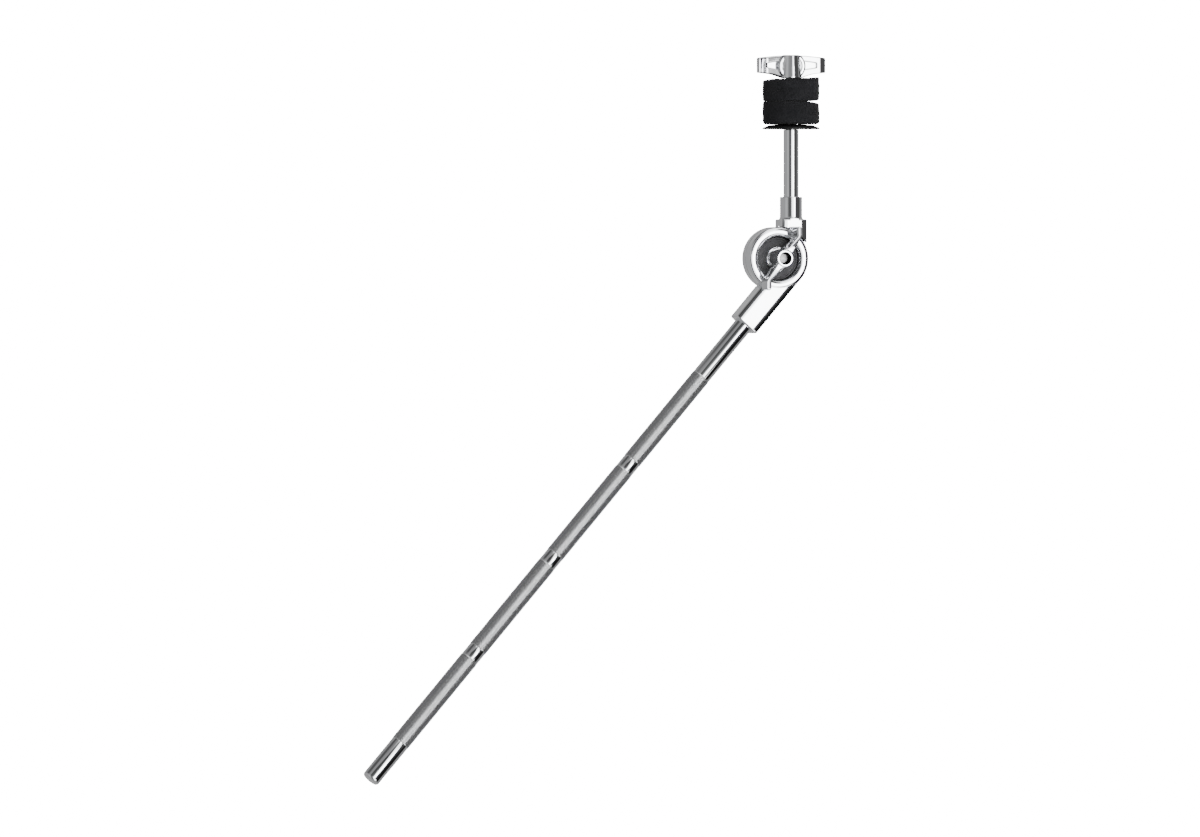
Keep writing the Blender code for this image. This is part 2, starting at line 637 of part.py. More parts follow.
clear_scene()
PARTS = collection("cymbal_boom_arm")
CUTTERS = collection("cutters")
CHROME_LOOK = material("chrome", CHROME)
KNURL_LOOK = material("knurled_chrome", KNURLED)
STEEL_LOOK = material("plated_steel", ZINC_STEEL)
DARK_LOOK = material("dark_nylon", DARK_NYLON)
PALE_LOOK = material("pale_nylon", PALE_NYLON)
BLACK_LOOK = material("black_nylon", BLACK_NYLON)
FELT_LOOK = material("black_felt", FELT)
LINING_LOOK = material("brake_lining", LINING)
build()
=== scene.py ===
"""Finished look of the cymbal boom arm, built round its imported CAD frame. Metres, +Z up.

Every piece is made in one of the local frames below, with the same driving sizes as the CAD part,
then moved into the row frame, so each object's own matrix stays the identity.

Arm frames: origin on the pivot, x across the arm, y along the neck away from the pivot (up on the
upper arm, -y on the lower arm) and z out of the front face. Rod frame: origin on the rod's lower end,
z up the rod. Post frame: origin beside the pivot, z up the post.
"""

import itertools
import json
import math

import bmesh
import bpy
import numpy as np
from mathutils import Matrix, Vector, noise


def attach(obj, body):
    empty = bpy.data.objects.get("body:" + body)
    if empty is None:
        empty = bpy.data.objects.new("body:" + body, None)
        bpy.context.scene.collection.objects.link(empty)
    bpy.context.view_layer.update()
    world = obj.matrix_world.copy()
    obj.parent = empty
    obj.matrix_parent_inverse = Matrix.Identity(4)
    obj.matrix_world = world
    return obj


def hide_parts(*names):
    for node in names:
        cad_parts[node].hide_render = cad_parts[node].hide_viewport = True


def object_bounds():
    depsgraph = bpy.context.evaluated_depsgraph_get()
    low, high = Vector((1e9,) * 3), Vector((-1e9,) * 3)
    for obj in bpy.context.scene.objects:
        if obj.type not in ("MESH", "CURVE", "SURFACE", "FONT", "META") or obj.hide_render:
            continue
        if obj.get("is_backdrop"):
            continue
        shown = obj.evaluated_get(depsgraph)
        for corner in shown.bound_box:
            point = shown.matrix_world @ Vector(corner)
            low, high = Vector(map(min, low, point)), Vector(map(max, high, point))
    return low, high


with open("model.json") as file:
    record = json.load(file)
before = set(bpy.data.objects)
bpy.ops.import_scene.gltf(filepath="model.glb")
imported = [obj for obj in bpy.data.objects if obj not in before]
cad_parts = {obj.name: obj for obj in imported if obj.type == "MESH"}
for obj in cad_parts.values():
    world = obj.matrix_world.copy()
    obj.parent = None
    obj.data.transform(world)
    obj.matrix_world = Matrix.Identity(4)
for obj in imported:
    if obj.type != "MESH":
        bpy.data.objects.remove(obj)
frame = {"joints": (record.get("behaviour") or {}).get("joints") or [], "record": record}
CAD_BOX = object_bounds()

MM = 0.001
FIT_GAP = 0.15 * MM
FACE_GAP = 0.2 * MM
CUT_PAST = 4 * MM

# Boom rod
ROD_RADIUS = 6.35 * MM
KNURL_CREST = 6.55 * MM
KNURL_ROOT = 6.49 * MM
KNURL_STARTS = 36  # grooves of each hand round the rod
KNURL_ROWS = 152  # rows of vertices along one knurled length
KNURL_SLOPE = 0.62  # share of the crest's height reached at one step from a groove
RUNOUT_LENGTH = 0.3 * MM  # a shallow step in the plain rod beside each knurled length
RUNOUT_DEPTH = 0.05 * MM
ROD_END_ROUND = 2.2 * MM
ROD_TOP_CHAMFER = 0.6 * MM
ROD_PLAIN_END = 33 * MM
KNURL_LENGTH = 75 * MM
KNURL_ZONES = 4
BAND_LENGTH = 9 * MM
PIVOT_TO_ROD_END = 455.5 * MM
ROD_SOCKET_DEPTH = 26 * MM

# Tilter
ROD_OFFSET = 12.2 * MM
NECK_WIDTH = 18 * MM
NECK_DEPTH = 16 * MM
NECK_FLAT = 4.3 * MM  # half the width of the neck's flat front
NECK_TURN = 28  # degrees that the shoulder turns through before the side's edge
NECK_EDGE = 0.7 * MM
LOWER_NECK_END = 49.3 * MM
UPPER_NECK_END = 26.6 * MM
NECK_START = 11 * MM
DISC_RADIUS = 21.4 * MM
DISC_CLEARANCE = 0.5 * MM
PARTING = 0.3 * MM
RIM_CREST = 8.3 * MM
RIM_MIDDLE = 18.05 * MM
RIM_SHOULDER = 5.4 * MM
RIM_POWER = 2.9  # 2 gives the rim an elliptical section, and more a squarer one
CASTING_EDGE = 0.4 * MM
DISH_EDGE = 0.8 * MM
REAR_DISC_EDGE = 1.9 * MM
SOCKET_MOUTH = 0.4 * MM
COLLAR_MOUTH = 0.25 * MM
DISH_FLOOR = 3.4 * MM
DISH_RADIUS = 14.7 * MM
REAR_DISC_BACK = -8.6 * MM
BRAKE_INNER = 9.5 * MM
BRAKE_OUTER = 18.5 * MM
BRAKE_FACE = 0.1 * MM
BRAKE_THICKNESS = 1.2 * MM
BRAKE_POCKET = 1.5 * MM
BRAKE_PLAY = 0.3 * MM
SPRING_POCKET_RADIUS = 7 * MM
SPRING_POCKET_FRONT = 1.6 * MM
SPRING_POCKET_BACK = -4 * MM
SPRING_WIRE = 0.45 * MM
SPRING_PLAY = 0.5 * MM
SPRING_TURNS = 3
THRUST_DISC_TOP = 4.6 * MM
THRUST_STEP = 0.35 * MM  # how far its middle lies below its two raised borders
WASHER_TOP = 5.5 * MM
WASHER_RADIUS = 7.8 * MM
BUSH_INNER = 4.15 * MM
BUSH_OUTER = 5.2 * MM

# Carriage bolt, and the M8 thread that it shares with the post's stud
BOLT_END = 16.5 * MM
BOLT_HEAD_RADIUS = 9.2 * MM
BOLT_HEAD_HEIGHT = 3.7 * MM
SQUARE_NECK = 7.8 * MM
SQUARE_HOLE = 8.4 * MM
SQUARE_NECK_START = -4.4 * MM
THREAD_MAJOR = 3.95 * MM
THREAD_MINOR = 3.3 * MM
THREAD_PITCH = 1.25 * MM
THREAD_FORM = [(0.0, THREAD_MINOR), (0.25, THREAD_MINOR), (0.5625, THREAD_MAJOR), (0.6875, THREAD_MAJOR)]

# Post and what sits on it, as heights above the pivot
COLLAR_RADIUS = 7.6 * MM
COLLAR_TOP = 41.8 * MM
COLLAR_FLARE = (1.3 * MM, 1.7 * MM)  # the fillet at its foot, across and along the post
POST_RADIUS = 5.15 * MM
POST_FOOT = 23.3 * MM
POST_SHOULDER = 87.3 * MM
STUD_TOP = 136.6 * MM
SEAT_RADIUS = 19.4 * MM
SLEEVE_RADIUS = 5.6 * MM
SLEEVE_TOP = 118 * MM
FELT_RADIUS = 19.0 * MM
FELT_BORE = 6.1 * MM
LOWER_FELT = (90.9 * MM, 106.4 * MM)
UPPER_FELT = (106.5 * MM, 121.8 * MM)

# Wing nuts
NUT_HEIGHT = 15.9 * MM
NUT_BORE = 4.15 * MM
NUT_HUB_RADIUS = 5.7 * MM
NUT_FOOT_RADIUS = 6.7 * MM
COIN_RADIUS = 9.2 * MM
COIN_FACE = 3.1 * MM
COIN_CENTRE = 8.3 * MM
COIN_GROOVE_DEPTH = 0.55 * MM
COIN_SKIRT = (0.5 * MM, 15.4 * MM)  # the heights that the coin is trimmed to
WING_BACK = -2.6 * MM  # the flat side of a wing, from the nut's middle
WING_ROOT = 1.5 * MM
WING_SLOPE = [(1.5, 5, 0), (4.3, 3.9, 2), (7.1, 2.1, 3)]  # mm: out, forward, radius of the bend
WING_TOP = ([0, 7, 10, 19, 23, 24.5], [15.5, 15.5, 15.35, 14.45, 14.05, 13.2])  # mm: out, height
WING_FOOT = ([0, 6.9, 10, 12.2, 14.2, 18.7, 23, 24.5], [0.3, 0.4, 1.5, 2.2, 2.75, 3.3, 3.6, 4.4])
RECESS_START = 8 * MM
RECESS_DRAFT = 0.5 * MM
FRONT_RECESS = (-0.9 * MM, 16.6 * MM)  # the floor's place across the wing, and how far out it reaches
BACK_RECESS = (WING_BACK + 0.6 * MM, 17.3 * MM)
WING_BEND = 20 * MM
WING_BEND_TURN = math.radians(33)  # the tip turns towards the sloped side
WING_TIP_LENGTH = 4.3 * MM
WING_TIP_THICKNESS = 3.7 * MM
TILTER_NUT_TURN = math.radians(57.8)
TOP_NUT_TURN = math.radians(-3.5)
NUT_VOXEL = 0.19 * MM
NUT_SMOOTHING = 7

# Pins
ROD_PIN_RADIUS = 2 * MM
ROD_PIN_PLACE = -37 * MM
POST_PIN_RADIUS = 1.5 * MM
POST_PIN_PLACE = 35 * MM
PIN_WALL = 0.7 * MM
PIN_SLOT = 0.6 * MM

# Felt
FELT_COLUMNS = 220
FELT_CELL = 0.55 * MM
FELT_LUMPS = [(230, 0.30), (620, 0.16), (1900, 0.10)]  # lumps per metre, and their height in mm
FELT_BARREL = 0.012
FELT_FIBRES = 4200
FELT_SEED = 11
FIBRE_LENGTH = (0.3, 0.85)  # mm
FIBRE_RADIUS = (0.022, 0.04)

FINE = 160  # facets round a casting or a felt
ROUND = 96
SMALL_ROUND = 48

# Camera and stage
VIEW_AZIMUTH = math.radians(-18.5)
VIEW_ELEVATION = 0.0
VIEW_DISTANCE = 24.0
VIEW_WIDTH = 812.4 * MM  # what the view spans at the pivot's distance
PIVOT_FROM_MIDDLE = (118.7 * MM, 108.3 * MM)  # right of the view's middle, and above it
SENSOR_WIDTH = 36
FLOOR_DROP = 0.30
FLOOR_REACH = 30.0
FLOOR_SHINE = 0.7  # what the floor reflects on top of what it gives out
WHITE = 22.0  # radiance that shows as paper white


def joint(name):
    return next(j for j in frame["joints"] if j["name"] == name)


def local_frames():
    """Matrices from each local frame to the row frame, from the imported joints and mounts."""
    pivot = Vector(joint("tilt")["pos_m"])
    post_x = joint("top_nut_turn")["pos_m"][0]
    down_the_rod = Vector(frame["record"]["mounts"][0]["axis"])
    lean = math.atan2(-down_the_rod.x, -down_the_rod.z)
    front = Matrix.Rotation(math.pi / 2, 4, "X")
    upper = Matrix.Translation(pivot) @ front
    lower = Matrix.Translation(pivot) @ Matrix.Rotation(lean, 4, "Y") @ front
    rod_end = Matrix.Translation((ROD_OFFSET, -PIVOT_TO_ROD_END, 0))
    rod = lower @ rod_end @ Matrix.Rotation(-math.pi / 2, 4, "X")
    post = Matrix.Translation((post_x, 0, pivot.z))
    return pivot, lean, upper, lower, rod, post


def nut_frame(base, height, turn):
    """The frame of a wing nut that stands at a height in another frame, turned about its own axis."""
    return base @ Matrix.Translation((0, 0, height + FACE_GAP)) @ Matrix.Rotation(turn, 4, "Z")


PIVOT, LEAN, UPPER, LOWER, ROD, POST = local_frames()
TILTER_NUT = nut_frame(UPPER, WASHER_TOP, TILTER_NUT_TURN)
TOP_NUT = nut_frame(POST, UPPER_FELT[1], TOP_NUT_TURN)
HERE = Matrix.Identity(4)
POST_OFFSET = POST.translation.x - PIVOT.x


# --- Mesh tools ---------------------------------------------------------------------------------


def mesh_of(points, faces, place=HERE, sharp=32.0):
    """A mesh with outward normals, smooth except across edges sharper than so many degrees."""
    mesh = bpy.data.meshes.new("piece")
    mesh.from_pydata([tuple(p) for p in points], [], [tuple(f) for f in faces])
    mesh.transform(place)
    bm = bmesh.new()
    bm.from_mesh(mesh)
    bmesh.ops.recalc_face_normals(bm, faces=bm.faces)
    bm.to_mesh(mesh)
    bm.free()
    shade(mesh, sharp)
    return mesh


def shade(mesh, sharp=32.0):
    mesh.shade_smooth()
    mesh.set_sharp_from_angle(angle=math.radians(sharp))


def flats_kept(mesh):
    """Normals weighted by face area, so that flat faces stay flat up to their rounded edges."""
    obj = scratch(mesh)
    step = obj.modifiers.new("flats", "WEIGHTED_NORMAL")
    step.mode = "FACE_AREA"
    step.weight = 100
    step.keep_sharp = True
    return evaluated(obj)


def soft(corners, steps=5):
    """An outline whose corners (a, b, radius) are rounded. One without a radius stays as it is."""
    points = []
    count = len(corners)
    for i, (a, b, radius) in enumerate(corners):
        here = Vector((a, b))
        if radius <= 0:
            points.append((a, b))
            continue
        before = (Vector(corners[i - 1][:2]) - here).normalized()
        after = (Vector(corners[(i + 1) % count][:2]) - here).normalized()
        half = math.acos(max(-1.0, min(1.0, before.dot(after)))) / 2
        centre = here + (before + after).normalized() * (radius / math.sin(half))
        start = here + before * (radius / math.tan(half)) - centre
        end = here + after * (radius / math.tan(half)) - centre
        turn = start.angle_signed(end)
        for k in range(steps + 1):
            spoke = start.copy()
            spoke.rotate(Matrix.Rotation(-turn * k / steps, 2))
            points.append(tuple(centre + spoke))
    return points


def arc(centre, across, up, start, end, steps):
    """Points on an ellipse's arc, from start to end in degrees, both ends included."""
    angles = [math.radians(start + (end - start) * i / steps) for i in range(steps + 1)]
    return [(centre[0] + across * math.cos(a), centre[1] + up * math.sin(a)) for a in angles]


def fillet(centre, radius, start, end, steps):
    return arc(centre, radius, radius, start, end, steps)


def lathe(outline, place=HERE, steps=ROUND, sharp=32.0):
    """An outline of (radius, height) spun round z. It is closed unless it starts and ends on the axis."""
    points, rings = [], []
    for radius, height in outline:
        if radius < 1e-9:
            rings.append([len(points)] * steps)
            points.append((0, 0, height))
            continue
        rings.append(list(range(len(points), len(points) + steps)))
        for i in range(steps):
            angle = 2 * math.pi * i / steps
            points.append((radius * math.cos(angle), radius * math.sin(angle), height))
    faces = []
    pairs = list(zip(rings, rings[1:]))
    if outline[0][0] > 0:
        pairs.append((rings[-1], rings[0]))
    for one, two in pairs:
        for i in range(steps):
            j = (i + 1) % steps
            corners = [one[i], one[j], two[j], two[i]]
            face = [c for k, c in enumerate(corners) if c != corners[k - 1]]
            if len(face) > 2:
                faces.append(face)
    return mesh_of(points, faces, place, sharp)


def loft(sections, place=HERE, sharp=32.0):
    """A skin over loops with equal numbers of points, with a flat cap at each end."""
    count = len(sections[0])
    points = [p for section in sections for p in section]
    faces = []
    for row in range(len(sections) - 1):
        for i in range(count):
            j = (i + 1) % count
            faces.append((row * count + i, row * count + j, (row + 1) * count + j, (row + 1) * count + i))
    faces.append(tuple(range(count)))
    faces.append(tuple((len(sections) - 1) * count + i for i in range(count)))
    return mesh_of(points, faces, place, sharp)


def bar_sections(ends, rounds, section):
    """Loops from section(place, inset) along a bar, drawn in where an end's edge is to be rounded."""
    sections = []
    for end, out, rounding in ((ends[0], -1, rounds[0]), (ends[1], 1, rounds[1])):
        rows = []
        for k in range(5 if rounding else 1):
            angle = math.pi / 8 * k
            place = end - out * rounding * (1 - math.cos(angle))
            rows.append(section(place, rounding * (1 - math.sin(angle))))
        sections += rows if out < 0 else rows[::-1]
    return sections


def box(low, high):
    corners = list(itertools.product(*zip(low, high)))
    faces = [(0, 1, 3, 2), (4, 5, 7, 6), (0, 1, 5, 4), (2, 3, 7, 6), (0, 2, 6, 4), (1, 3, 7, 5)]
    return mesh_of(corners, faces)


def rod_between(start, end, radius, steps=SMALL_ROUND, mouth=0.0):
    """A round cutter from start to end. A mouth flares its start by that much, as a countersink."""
    start, end = Vector(start), Vector(end)
    turn = (end - start).to_track_quat("Z", "Y").to_matrix().to_4x4()
    length = (end - start).length
    outline = [(0, 0), (radius, 0), (radius, length), (0, length)]
    if mouth:
        outline[1:2] = [(radius + mouth + CUT_PAST, 0), (radius, CUT_PAST + mouth)]
    return lathe(outline, Matrix.Translation(start) @ turn, steps)


def scratch(mesh):
    obj = bpy.data.objects.new("scratch", mesh)
    bpy.context.scene.collection.objects.link(obj)
    return obj


def evaluated(obj):
    """The object's mesh with its modifiers applied. The object is removed."""
    graph = bpy.context.evaluated_depsgraph_get()
    mesh = bpy.data.meshes.new_from_object(obj.evaluated_get(graph), depsgraph=graph)
    bpy.data.objects.remove(obj)
    return mesh


def carved(mesh, add=(), cut=(), within=()):
    """A mesh with others added to it, then others cut from it, then trimmed to what lies within others."""
    obj = scratch(mesh)
    tools = []
    for operation, others in (("UNION", add), ("DIFFERENCE", cut), ("INTERSECT", within)):
        for other in others:
            tool = scratch(other)
            tools.append(tool)
            step = obj.modifiers.new("step", "BOOLEAN")
            step.operation = operation
            step.solver = "EXACT"
            step.object = tool
    made = evaluated(obj)
    for tool in tools:
        bpy.data.objects.remove(tool)
    shade(made)
    return made


def cast(meshes, voxel, smoothing):
    """Overlapping closed meshes fused into one die-cast skin with small fillets."""
    bm = bmesh.new()
    for mesh in meshes:
        bm.from_mesh(mesh)
    joined = bpy.data.meshes.new("joined")
    bm.to_mesh(joined)
    bm.free()
    obj = scratch(joined)
    fuse = obj.modifiers.new("fuse", "REMESH")
    fuse.mode = "VOXEL"
    fuse.voxel_size = voxel
    relax = obj.modifiers.new("relax", "SMOOTH")
    relax.factor = 0.5
    relax.iterations = smoothing
    made = evaluated(obj)
    made.shade_smooth()
    return made


def thread(low, high, chamfer=0.8 * MM):
    """A closed M8 screw thread between two heights, with its upper end chamfered."""
    columns, start = 40, low - 2 * THREAD_PITCH
    turns = int(math.ceil((high - start) / THREAD_PITCH)) + 2
    pitch_rows = len(THREAD_FORM)
    points = []
    for turn in range(turns):
        for phase, radius in THREAD_FORM:
            for i in range(columns):
                angle = 2 * math.pi * i / columns
                height = start + THREAD_PITCH * (turn + phase + i / columns)
                points.append((radius * math.cos(angle), radius * math.sin(angle), height))
    last = turns * pitch_rows - 1

    def at(row, column):
        return row * columns + column

    faces = []
    for row in range(last):
        for i in range(columns - 1):
            faces.append((at(row, i), at(row, i + 1), at(row + 1, i + 1), at(row + 1, i)))
    for row in range(last - pitch_rows):
        seam = row + pitch_rows
        faces.append((at(row, columns - 1), at(seam, 0), at(seam + 1, 0), at(row + 1, columns - 1)))
    bottom = [at(0, i) for i in range(columns)] + [at(r, 0) for r in range(pitch_rows, 0, -1)]
    top_rows = range(last - 1, last - pitch_rows - 1, -1)
    top = [at(last, i) for i in range(columns)] + [at(r, columns - 1) for r in top_rows]
    for loop, height in ((bottom, start - THREAD_PITCH), (top, high + 3 * THREAD_PITCH)):
        pole = len(points)
        points.append((0, 0, height))
        faces += [(loop[k - 1], loop[k], pole) for k in range(len(loop))]
    envelope = soft(
        [(0, high, 0), (THREAD_MAJOR - chamfer, high, 0.1 * MM), (THREAD_MAJOR, high - chamfer, 0.1 * MM),
         (THREAD_MAJOR, low, 0), (0, low, 0)], 2,
    )
    return carved(mesh_of(points, faces), within=[lathe(envelope)])


# --- Materials ----------------------------------------------------------------------------------


def node(tree, kind, inputs, output, **settings):
    """A new node, with each of its inputs set to a value or linked to a socket. Gives one output."""
    made = tree.nodes.new(kind)
    for key, value in settings.items():
        setattr(made, key, value)
    for key, value in inputs.items():
        if isinstance(value, bpy.types.NodeSocket):
            tree.links.new(value, made.inputs[key])
        else:
            made.inputs[key].default_value = value
    return made.outputs[output]


class Look:
    """A node material round one Principled shader, with short ways to add its nodes."""

    def __init__(self, name, colour, roughness, metallic=0.0, **sockets):
        self.material = bpy.data.materials.new(name)
        self.material.use_nodes = True
        self.tree = self.material.node_tree
        self.shader = self.tree.nodes["Principled BSDF"]
        self.shader.inputs["Base Color"].default_value = (*colour, 1)
        self.shader.inputs["Roughness"].default_value = roughness
        self.shader.inputs["Metallic"].default_value = metallic
        for socket, value in sockets.items():
            self.shader.inputs[socket.replace("_", " ")].default_value = value
        self.position = self.add("ShaderNodeTexCoord", {}, "Object")

    def add(self, kind, inputs, output, **settings):
        return node(self.tree, kind, inputs, output, **settings)

    def link(self, source, target):
        self.tree.links.new(source, self.shader.inputs[target])

    def stretched(self, scale, turn=(0, 0, 0)):
        """The position turned, then scaled along each axis."""
        inputs = {"Vector": self.position, "Rotation": turn}
        turned = self.add("ShaderNodeMapping", inputs, "Vector", vector_type="TEXTURE")
        return self.add("ShaderNodeMapping", {"Vector": turned, "Scale": scale}, "Vector")

    def noise(self, scale, detail=3.0, rough=0.5, vector=None, distortion=0.0):
        inputs = {"Scale": scale, "Detail": detail, "Roughness": rough, "Distortion": distortion}
        return self.add("ShaderNodeTexNoise", {"Vector": vector or self.position, **inputs}, "Fac")

    def cells(self, scale):
        return self.add("ShaderNodeTexVoronoi", {"Vector": self.position, "Scale": scale}, "Distance")

    def spread(self, value, low, high, to_low, to_high):
        inputs = {"Value": value, "From Min": low, "From Max": high, "To Min": to_low, "To Max": to_high}
        return self.add("ShaderNodeMapRange", inputs, "Result")

    def sum(self, one, two, operation="ADD"):
        return self.add("ShaderNodeMath", {0: one, 1: two}, "Value", operation=operation)

    def attribute(self, name):
        return self.add("ShaderNodeAttribute", {}, "Fac", attribute_name=name)

    def mix(self, factor, one, two):
        one, two = ((*c, 1) if isinstance(c, tuple) else c for c in (one, two))
        return self.add("ShaderNodeMix", {"Factor": factor, "A": one, "B": two}, "Result", data_type="RGBA")

    def colour(self, value):
        self.link(value, "Base Color")

    def mottle(self, value, one, two, high=0.7):
        """The base colour, from one where the value is low to two where it is high."""
        self.colour(self.mix(self.spread(value, 0.35, high, 0, 1), one, two))

    def roughness(self, value):
        self.link(value, "Roughness")

    def bump(self, height, depth, strength=1.0, under=None):
        inputs = {"Strength": strength, "Distance": depth, "Height": height}
        if under is not None:
            inputs["Normal"] = under
        return self.add("ShaderNodeBump", inputs, "Normal")

    def normal(self, value):
        self.link(value, "Normal")


def chrome(look, fine, low, high, smudge_scale, pits, pit_dullness, under=None):
    """Bright chrome whose finest marks are given, with a few dull smudges and pits."""
    smudge = look.noise(smudge_scale, 3, 0.55)
    look.mottle(smudge, (0.83, 0.84, 0.86), (0.75, 0.76, 0.78), 0.75)
    dull = look.sum(look.spread(fine, 0.3, 0.7, low, high), look.spread(smudge, 0.5, 0.8, 0, 0.05))
    look.roughness(look.sum(dull, look.spread(look.cells(pits[0]), 0.0, pits[1], pit_dullness, 0.0)))
    look.normal(look.bump(fine, 0.0015 * MM, 0.4, under))
    return look.material


def turned_chrome(name, turn):
    """Chrome over turned steel, with faint polishing rings across the axis."""
    look = Look(name, (0.80, 0.81, 0.83), 0.06, 1.0)
    rings = look.noise(1.0, 4, 0.6, look.stretched((40, 40, 2200), turn))
    return chrome(look, rings, 0.035, 0.075, 55, (900, 0.12), 0.12)


def cast_chrome(name):
    """Chrome over a polished die casting: slow waves in the surface and fine handling marks."""
    look = Look(name, (0.80, 0.81, 0.83), 0.07, 1.0)
    waves = look.bump(look.noise(110, 2, 0.45), 0.05 * MM, 0.6)
    return chrome(look, look.noise(1500, 3, 0.6), 0.04, 0.08, 70, (800, 0.1), 0.15, waves)


def knurled_chrome(name):
    """Chrome over the knurl: duller than the plain bands, with painted shade darkening the grooves."""
    look = Look(name, (0.62, 0.63, 0.65), 0.2, 0.78)
    groove = look.attribute("groove")
    patch = look.noise(60, 3, 0.55)
    grain = look.noise(2500, 3, 0.6)
    worn = look.mix(look.spread(patch, 0.35, 0.7, 0, 1), (0.62, 0.63, 0.65), (0.54, 0.55, 0.56))
    # painted shade: the base colour darkens towards grey 0.22 with the groove's depth
    look.colour(look.mix(look.spread(groove, 0.2, 1.0, 0, 0.85), worn, (0.22, 0.22, 0.22)))
    dull = look.sum(look.spread(groove, 0, 1, 0.1, 0.24), look.spread(patch, 0.4, 0.7, 0, 0.06))
    look.roughness(dull)
    look.normal(look.bump(grain, 0.006 * MM, 0.5))
    return look.material


def plated_steel(name):
    """Zinc-plated steel: satin, with a mottled pale passivation."""
    look = Look(name, (0.66, 0.67, 0.68), 0.32, 1.0)
    mottle = look.noise(350, 4, 0.6)
    grain = look.noise(2200, 3, 0.65)
    look.mottle(mottle, (0.30, 0.30, 0.31), (0.22, 0.22, 0.21))
    dull = look.spread(mottle, 0.3, 0.7, 0.26, 0.38)
    look.roughness(look.sum(dull, look.spread(grain, 0.3, 0.7, 0, 0.08)))
    look.normal(look.bump(grain, 0.01 * MM, 0.6))
    return look.material


def painted_shade_bore_metal(name):
    """The wall of the nut's tapped bore: near-black metal as painted shade in the bore, with a faint random
    mottle.
    """
    # painted shade: the bore's wall is coloured near black
    look = Look(name, (0.08, 0.08, 0.08), 0.35, 1.0)
    bore_mottle = look.noise(700, 3, 0.6)
    look.mottle(bore_mottle, (0.09, 0.09, 0.09), (0.05, 0.05, 0.05))
    look.roughness(look.spread(bore_mottle, 0.3, 0.7, 0.28, 0.42))
    look.normal(look.bump(bore_mottle, 0.01 * MM, 0.5))
    return look.material


def nylon(name, colour, other, roughness, shine=0.5):
    """Moulded nylon: a fine spark-eroded grain, with gloss that varies a little."""
    look = Look(name, colour, roughness, Specular_IOR_Level=shine)
    grain = look.noise(3000, 2, 0.5)
    patch = look.noise(120, 3, 0.55)
    look.mottle(patch, colour, other)
    dull = look.spread(patch, 0.3, 0.7, roughness - 0.06, roughness + 0.06)
    look.roughness(look.sum(dull, look.spread(grain, 0.3, 0.7, -0.03, 0.05)))
    look.normal(look.bump(grain, 0.012 * MM, 0.6))
    return look.material


def pressed_felt(name, dark, pale):
    """Pressed wool: matted fibres seen as fine crossed streaks, with soft lighter patches."""
    look = Look(name, dark, 0.95, 0.0, Sheen_Weight=0.08, Sheen_Roughness=0.5, Specular_IOR_Level=0.15)
    one = look.noise(1.0, 4, 0.65, look.stretched((900, 2600, 900), (0.3, 0.2, 0.5)), 0.6)
    two = look.noise(1.0, 4, 0.65, look.stretched((2600, 900, 1100), (-0.4, 0.5, -0.3)), 0.6)
    fibres = look.sum(one, two, "MAXIMUM")
    patch = look.noise(140, 3, 0.6)
    tone = look.sum(look.spread(fibres, 0.45, 0.75, 0, 0.7), look.spread(patch, 0.4, 0.75, 0, 0.35))
    look.colour(look.mix(tone, dark, pale))
    look.roughness(look.spread(fibres, 0.4, 0.7, 0.85, 1.0))
    look.normal(look.bump(fibres, 0.25 * MM, 0.8, look.bump(patch, 0.3 * MM, 0.4)))
    return look.material


def friction_fibre(name):
    """Bonded brake lining: brown resin with pale and dark chopped fibres."""
    look = Look(name, (0.16, 0.13, 0.10), 0.85)
    chips = look.cells(1400)
    fibres = look.noise(1.0, 3, 0.6, look.stretched((600, 3000, 3000), (0, 0, 0.6)))
    tint = look.sum(look.spread(chips, 0.0, 0.35, 0.6, 0.0), look.spread(fibres, 0.5, 0.7, 0, 0.5))
    look.colour(look.mix(tint, (0.13, 0.10, 0.08), (0.30, 0.26, 0.20)))
    look.roughness(look.spread(fibres, 0.3, 0.7, 0.75, 0.95))
    look.normal(look.bump(fibres, 0.05 * MM, 0.7))
    return look.material


# Each look's material, and the record's slot that it stands for
LOOKS = {
    "rod": (turned_chrome("chrome_rod", (0, LEAN, 0)), "knurled_steel"),
    "post": (turned_chrome("chrome_post", (0, 0, 0)), "chrome"),
    "hinge": (turned_chrome("chrome_washer", (math.pi / 2, 0, 0)), "chrome"),
    "cast": (cast_chrome("chrome_casting"), "chrome"),
    "knurl": (knurled_chrome("chrome_knurl"), "knurled_steel"),
    "steel": (plated_steel("zinc_plated_steel"), "plated_steel"),
    # painted shade for the wing nuts' bores, over the record's chrome
    "bore": (painted_shade_bore_metal("bore_painted_shade"), "chrome"),
    "dark": (nylon("dark_nylon", (0.11, 0.11, 0.114), (0.075, 0.075, 0.08), 0.5, 0.12), "dark_nylon"),
    "pale": (nylon("pale_nylon", (0.72, 0.70, 0.64), (0.66, 0.63, 0.56), 0.45), "pale_nylon"),
    "black": (nylon("black_nylon", (0.015, 0.015, 0.016), (0.022, 0.022, 0.023), 0.34, 0.2), "black_nylon"),
    "felt": (pressed_felt("black_felt", (0.012, 0.012, 0.014), (0.036, 0.036, 0.04)), "black_felt"),
    "fibre": (pressed_felt("felt_fibre", (0.018, 0.018, 0.021), (0.05, 0.05, 0.055)), "black_felt"),
    "lining": (friction_fibre("brake_lining"), "brake_lining"),
}


def show(name, mesh, body, look, *nodes, flats=True):
    """Puts a finished mesh, already in the row frame, on its body in place of the CAD nodes named."""
    if flats:
        mesh = flats_kept(mesh)
    obj = bpy.data.objects.new(name, mesh)
    bpy.context.scene.collection.objects.link(obj)
    mesh.name = name
    mesh.materials.clear()
    material, slot = LOOKS[look]
    mesh.materials.append(material)
    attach(obj, body)
    if nodes:
        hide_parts(*nodes)
    return obj


def placed(mesh, place):
    mesh.transform(place)
    return mesh


# --- Boom rod -----------------------------------------------------------------------------------


